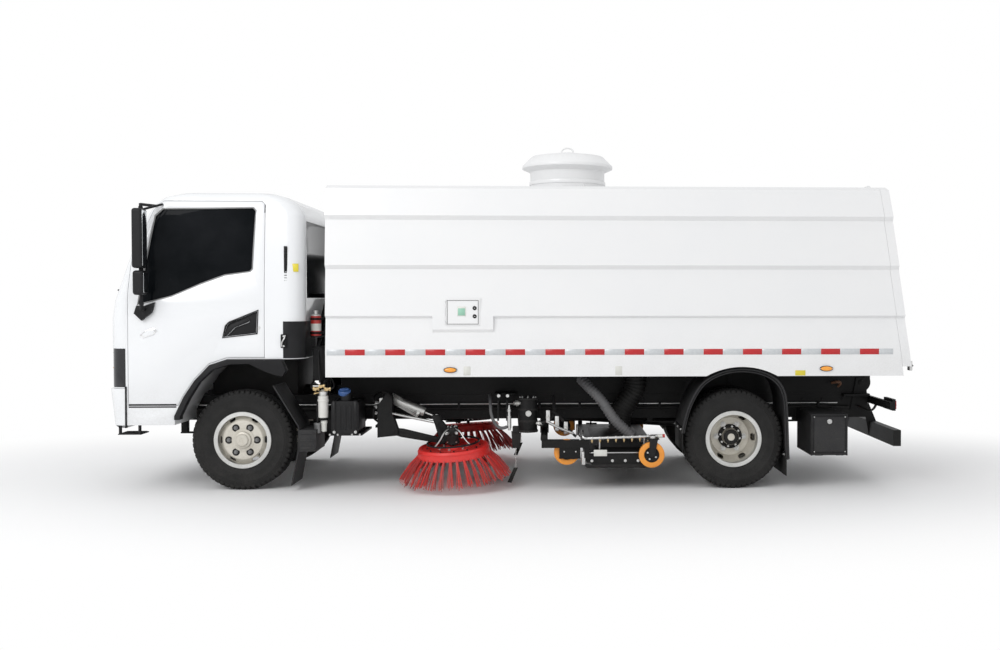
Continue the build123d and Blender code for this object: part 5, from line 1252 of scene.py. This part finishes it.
def makeNozzleGear():
    parts = []
    # front beam, castor plates with their bolts, side skids and rubber curtains
    parts += [
        boxPiece((0.25, -0.925, 0.336), (0.545, -0.872, 0.388), 0.006, 2, "armBlack"),
        platePiece([(0.385, 0.245), (0.4, 0.33), (0.54, 0.33), (0.552, 0.245), (0.5, 0.238)], "y", -0.936, -0.93,
            0.002, "armBlack"),
    ]
    for x in (0.425, 0.515):
        parts.append(boltPiece((x, -0.936, 0.3), "y", 0.013, 0.014, "bareSteel"))
    parts += [
        boxPiece((0.56, -0.958, 0.196), (0.59, -0.9, 0.3), 0.006, 2, "bareSteel"),
        platePiece([(0.575, 0.2), (0.6, 0.17), (1.12, 0.17), (1.14, 0.2)], "y", -0.95, -0.938, 0.003, "hoseRubber"),
        boxPiece((0.655, -0.9465, 0.262), (0.758, -0.938, 0.312), 0.0015, 1, "labelPale"),
    ]
    for x in (0.64, 0.8, 0.9, 1.0, 1.09):
        parts.append(boltPiece((x, -0.941, 0.226), "y", 0.009, 0.009, "bareSteel"))
    parts.append(boxPiece((0.58, -0.944, 0.284), (1.141, -0.936, 0.292), 0.002, 1, "bareSteel"))
    # rear castor fork
    for y in (-1.004, -0.94):
        parts.append(platePiece([(1.08, 0.27), (1.102, 0.258), (1.124, 0.27), (1.15, 0.4), (1.085, 0.4)], "y", y,
            y + 0.006, 0.0015, "armBlack"))
    parts += [
        boxPiece((1.06, -1.004, 0.394), (1.16, -0.934, 0.404), 0.003, 2, "armBlack"),
        turnPiece([(0.404, 0.026), (0.424, 0.026), (0.43, 0.018), (0.43, 0.0)], (1.11, -0.969, 0), "z", 24,
            finish="bareSteel"),
    ]
    # wash bar: jets, bent feed pipe, red and white end
    for index in range(9):
        x = 0.64 + 0.062 * index
        parts += [
            turnPiece([(-0.03, 0.0035), (-0.018, 0.0055), (-0.018, 0.008), (0.0, 0.008)],
                (x, -0.965, 0.397 + 0.016 * (x - 0.604) / 0.582), "z", 6, finish="brassFitting"),
            collarPiece((x, -0.965, 0.4045 + 0.016 * (x - 0.604) / 0.582), "x", 0.0105, 0.009, "bareSteel", 0.002),
        ]
    parts += [
        tubePiece([(0.604, -0.965, 0.404), (0.58, -0.965, 0.404), (0.566, -0.955, 0.42), (0.566, -0.9, 0.46)], 0.011,
            "bareSteel", True, 12, 8),
        tubePiece([(1.186, -0.965, 0.42), (1.205, -0.965, 0.421)], 0.014, "cylinderRed", False, 12),
        tubePiece([(1.15, -0.965, 0.419), (1.186, -0.965, 0.42)], 0.0145, "labelPale", False, 12),
    ]
    return parts


castor = {"front": (0.446, -0.904, 0.292), "rear": (1.102, -0.972, 0.276), "radius": 0.1, "half": 0.02}


def makeCastor(place):
    x, y, z = place
    half, radius = castor["half"], castor["radius"]
    tread = turnPiece([(-half, 0.062), (-half, radius - 0.01), (-half + 0.004, radius - 0.002),
        (-half + 0.009, radius), (half - 0.009, radius), (half - 0.004, radius - 0.002), (half, radius - 0.01),
        (half, 0.062), (half - 0.003, 0.058), (-half + 0.003, 0.058)], place, "y", 64, closed=True, smooth=30)
    hub = turnPiece([(-half - 0.004, 0.0), (-half - 0.004, 0.018), (-half - 0.002, 0.022), (-half + 0.002, 0.026),
        (-half + 0.002, 0.046), (-half - 0.001, 0.05), (-half - 0.001, 0.058), (half + 0.001, 0.058),
        (half + 0.001, 0.05), (half - 0.002, 0.046), (half - 0.002, 0.026), (half + 0.004, 0.018),
        (half + 0.004, 0.0)], place, "y", 48, smooth=30)
    bolt = boltPiece((x, y - half, z + 0.036), "y", 0.006, 0.007, "bareSteel", stud=False)
    pieces = [paintWith(tread, "castorOrange"), paintWith(hub, "frameBlackAndUndersideShade")]
    return pieces + ringOf(bolt, 4, place, "y", 0.5)


settlePair(makeCastor(castor["front"]), "frontCastor", "front_castor_wheel_{}", "front_castor_{}")
settlePair(makeCastor(castor["rear"]), "rearCastor", "rear_castor_wheel_{}", "rear_castor_{}")
joinPieces(makeUreaTank(), "ureaTankFittings", "chassis")
joinPieces(makeFilterBowl(), "fuelFilter", "chassis")
settlePair(makeBehindCab(), "behindCabGear", "chassis")
settlePair(makeTurretGear(), "turretManifold", "turret_body_{}")
settlePair(makeRamRings(), "liftCylinderRibs", "lift_barrel_{}")
settlePair(makeSuctionGear(), "suctionGear", "chassis")
settlePair(makeNozzleGear(), "nozzleGear", "chassis")
print("sweeping gear done")


# Frame, fenders, tool box and rear end

def makeFrameDetails():
    parts = []
    # bolts along the web, brake pipe with its clips, wiring loom
    for index in range(34):
        x = -2.7 + 0.165 * index
        if -1.2 < x < -0.85:
            continue
        for z in (0.545, 0.655):
            parts.append(boltPiece((x, -0.4, z), "y", 0.009, 0.009, "castIron", stud=False))
    parts += [
        tubePiece([(-2.6, -0.412, 0.622), (-1.3, -0.414, 0.618), (0.0, -0.412, 0.624), (1.2, -0.412, 0.62),
            (2.7, -0.412, 0.622)], 0.006, "bareSteel", True, 8, 10),
        tubePiece([(-2.6, -0.416, 0.59), (-0.9, -0.418, 0.584), (0.6, -0.416, 0.592), (2.8, -0.416, 0.588)], 0.012,
            "hoseRubber", True, 10, 12),
    ]
    for index in range(14):
        x = -1.75 + 0.33 * index
        parts.append(boxPiece((x - 0.01, -0.432, 0.572), (x + 0.01, -0.4, 0.634), 0.003, 1, "trimBlack"))
    return parts


def makeAirTank():
    parts = [
        turnPiece([(-0.33, 0.0), (-0.33, 0.04), (-0.316, 0.085), (-0.29, 0.105), (0.29, 0.105), (0.316, 0.085),
            (0.33, 0.04), (0.33, 0.0)], (-0.42, 0.0, 0.56), "x", 40, finish="frameBlackAndUndersideShade", smooth=30),
    ]
    for x in (-0.58, -0.26):
        parts.append(collarPiece((x, 0.0, 0.56), "x", 0.104, 0.016, "armBlack", 0.003))
    return parts


def makeFenderTrim():
    # rolled lip and stay bolts of the rear fender, mud flaps with their clamp bars
    parts = []
    arc = [(1.335, 0.445), (1.36, 0.575), (1.405, 0.694), (1.465, 0.8), (1.537, 0.87), (1.66, 0.925), (1.8, 0.944),
        (1.95, 0.925), (2.06, 0.872), (2.12, 0.8), (2.15, 0.694), (2.158, 0.45), (2.165, 0.24)]
    parts.append(tubePiece([(x, -1.005, z) for x, z in arc], 0.0085, "guardGrey", True, 10, 5))
    inner = [(x + (1.76 - x) * 0.035, z + (0.4 - z) * 0.035) for x, z in arc]
    parts.append(tubePiece([(x, -0.998, z) for x, z in inner], 0.006, "guardGrey", True, 8, 5))
    for x, z in ((1.346, 0.47), (2.156, 0.27)):
        parts.append(boxPiece((x - 0.012, -0.99, z - 0.018), (x + 0.012, -0.5, z + 0.018), 0.003, 1, "frameBlackAndUndersideShade"))
        for y in (-0.95, -0.75, -0.55):
            parts.append(boltPiece((x - 0.012, y, z), "x", 0.008, 0.008, "bareSteel", outward=-1))
    parts += [
        boxPiece((2.148, -0.985, 0.105), (2.156, -0.505, 0.262), 0.002, 1, "hoseRubber"),
        boxPiece((1.338, -0.985, 0.3), (1.346, -0.505, 0.462), 0.002, 1, "hoseRubber"),
    ]
    # the box on the front mud guard
    for z in (0.335, 0.392, 0.449):
        parts.append(boxPiece((-1.604, -0.934, z - 0.01), (-1.488, -0.928, z + 0.01), 0.003, 1, "guardGrey"))
    return parts


def makeToolBoxTrim():
    face = -0.911
    parts = borderBars((2.376, 0.27), (2.645, 0.568), 0.012, face - 0.004, face + 0.002, 0.0018, "armBlack")
    parts += [
        turnPiece([(0.002, 0.02), (-0.004, 0.02), (-0.007, 0.017), (-0.007, 0.01), (-0.004, 0.009), (-0.004, 0.0)],
            (2.51, face, 0.52), "y", 32, finish="bareSteel"),
        boxPiece((2.497, face - 0.012, 0.516), (2.523, face - 0.004, 0.524), 0.002, 2, "bareSteel"),
    ]
    for x in (2.388, 2.633):
        for z in (0.282, 0.556):
            parts.append(boltPiece((x, face - 0.003, z), "y", 0.0045, 0.004, "bareSteel", stud=False))
    return parts


def makeRearLamps():
    parts = []
    back = 3.01
    for y, wide, finish in ((-0.95, 0.07, "reflectRed"), (-0.875, 0.07, "amber"), (-0.8, 0.06, "lampClear")):
        parts.append(boxPiece((back - 0.002, y - wide * 0.5, 0.622), (back + 0.008, y + wide * 0.5, 0.688), 0.004, 2,
            finish))
    for index in range(3):
        parts.append(boxPiece((back + 0.006, -0.985 + 0.075 * index, 0.652),
            (back + 0.01, -0.915 + 0.075 * index, 0.656), 0.001, 1, "lampDark"))
    # chevrons of the guard bar as plain red and silver fields, hanger bolts
    for index in range(6):
        y = -0.965 + 0.16 * index
        finish = "reflectRed" if index % 2 == 0 else "reflectSilver"
        parts.append(boxPiece((3.0495, y, 0.375), (3.0515, y + 0.155, 0.42), 0.0005, 1, finish))
    for x, z in ((2.966, 0.61), (2.966, 0.56), (3.02, 0.43), (3.02, 0.37)):
        parts.append(boltPiece((x, -0.342, z), "y", 0.01, 0.01, "bareSteel"))
    for x in (2.985, 2.975):
        parts.append(tubePiece([(x - 0.01, -0.6, 0.62), (x - 0.03, -0.58, 0.56), (x - 0.08, -0.5, 0.58),
            (x - 0.12, -0.43, 0.6)], 0.006, "hoseRubber", True, 8, 6))
    parts += [
        boxPiece((2.74, -0.47, 0.676), (2.96, -0.4, 0.7), 0.004, 2, "frameBlackAndUndersideShade"),
        tubePiece([(2.64, -0.46, 0.79), (2.676, -0.5, 0.805), (2.72, -0.48, 0.79), (2.7, -0.44, 0.76)], 0.012,
            "brownHose", True, 10, 8),
    ]
    return parts


def makeTowDetails():
    parts = []
    for y in (-0.06, 0.06):
        for z in (0.5625, 0.6175):
            parts.append(collarPiece((2.962, y, z), "x", 0.0095, 0.0015, "bareSteel", 0.003))
    parts.append(collarPiece((2.962, 0, 0.59), "x", 0.0275, 0.002, "armBlack", 0.006))
    return parts


settlePair(makeFrameDetails(), "frameDetails", "chassis")
joinPieces(makeAirTank(), "airTank", "chassis")
settlePair(makeFenderTrim(), "fenderTrim", "chassis")
joinPieces(makeToolBoxTrim(), "toolBoxTrim", "tool_door")
settlePair(makeRearLamps(), "rearLamps", "chassis")
joinPieces(makeTowDetails(), "towPlateRings", "chassis")
print("frame and rear done")


# All other nodes keep their CAD shape with rounded edges

for node in sorted(nodes):
    if node not in modelledApart:
        roundNode(node)
print("nodes dressed")


# Floor, light and camera

studio = {"floorColour": (0.9, 0.9, 0.9), "floorSpread": (0.27, 0.48, 0.0), "floorSize": 80, "floorRoughness": 0.8,
    "fadeStart": 1.0, "fadeEnd": 1.9, "worldStrength": 0.85, "skyTint": (0.985, 0.99, 1.0),
    "camera": (0.318, -9.425, 1.474), "yaw": 2.39, "pitch": 1.306, "lens": 39.5, "sensor": 36, "shift": -0.096,
    "farthest": 200}
# place, target, power, size
lamps = {
    "keySoftbox": ((-5.5, -8.5, 6.5), (0, 0, 1.2), 385, (6, 4)),
    "fillSoftbox": ((7.5, -7.5, 3.5), (0.5, 0, 1.2), 15, (5, 4)),
    "topSoftbox": ((0, -1.5, 8.0), (0, 0, 1.5), 20, (9, 5)),
}


def makeFloor():
    clearSelection()
    bpy.ops.mesh.primitive_plane_add(size=studio["floorSize"], location=(0, 0, 0))
    floor = bpy.context.object
    floor.name = "studioFloor"
    material = bpy.data.materials.new("studioFloor")
    material.use_nodes = True
    tree = material.node_tree
    principled = tree.nodes["Principled BSDF"]
    principled.inputs["Base Color"].default_value = (*studio["floorColour"], 1)
    principled.inputs["Roughness"].default_value = studio["floorRoughness"]
    # away from the truck the seen floor turns into the plain white of the air, so that no horizon shows
    place = addNode(tree, "TexCoord").outputs["Object"]
    spread = addNode(tree, "VectorMath", {0: place, 1: studio["floorSpread"]}, operation="MULTIPLY")
    distance = addNode(tree, "VectorMath", {0: spread.outputs[0]}, operation="LENGTH")
    fade = addNode(tree, "MapRange", {"Value": distance.outputs["Value"], "From Min": studio["fadeStart"],
        "From Max": studio["fadeEnd"]}, interpolation_type="SMOOTHSTEP")
    seen = addNode(tree, "LightPath").outputs["Is Camera Ray"]
    share = addNode(tree, "Math", {0: fade.outputs[0], 1: seen}, operation="MULTIPLY")
    air = addNode(tree, "Emission", {"Color": (1, 1, 1, 1), "Strength": 1.0})
    mixed = addNode(tree, "MixShader", {0: share.outputs[0], 1: principled.outputs[0], 2: air.outputs[0]})
    tree.links.new(mixed.outputs[0], tree.nodes["Material Output"].inputs["Surface"])
    floor.data.materials.append(material)


def makeWorld():
    world = bpy.data.worlds.new("studioAir")
    bpy.context.scene.world = world
    world.use_nodes = True
    tree = world.node_tree
    tree.nodes.clear()
    rays = addNode(tree, "LightPath")
    seen = addNode(tree, "Math", {0: rays.outputs["Is Camera Ray"], 1: rays.outputs["Is Transmission Ray"]},
        operation="MAXIMUM")
    shade = addNode(tree, "Background", {"Color": (*studio["skyTint"], 1), "Strength": studio["worldStrength"]})
    clear = addNode(tree, "Background", {"Color": (1, 1, 1, 1), "Strength": 1.0})
    air = addNode(tree, "MixShader", {0: seen.outputs[0], 1: shade.outputs[0], 2: clear.outputs[0]})
    addNode(tree, "OutputWorld", {"Surface": air.outputs[0]})


def addLamp(name, place, target, power, size):
    data = bpy.data.lights.new(name, "AREA")
    data.energy = power
    data.shape = "RECTANGLE"
    data.size, data.size_y = size
    lamp = bpy.data.objects.new(name, data)
    bpy.context.scene.collection.objects.link(lamp)
    lamp.location = place
    lamp.rotation_euler = (Vector(target) - Vector(place)).to_track_quat("-Z", "Y").to_euler()


makeFloor()
makeWorld()
for lampName, lampSettings in lamps.items():
    addLamp(lampName, *lampSettings)

cameraData = bpy.data.cameras.new("photoCamera")
camera = bpy.data.objects.new("photoCamera", cameraData)
bpy.context.scene.collection.objects.link(camera)
camera.location = studio["camera"]
camera.rotation_euler = (math.radians(90 - studio["pitch"]), 0, -math.radians(studio["yaw"]))
cameraData.lens = studio["lens"]
cameraData.sensor_width = studio["sensor"]
cameraData.shift_x = studio["shift"]
cameraData.clip_end = studio["farthest"]
bpy.context.scene.camera = camera
bpy.context.scene.view_settings.view_transform = "Standard"
print("studio ready")
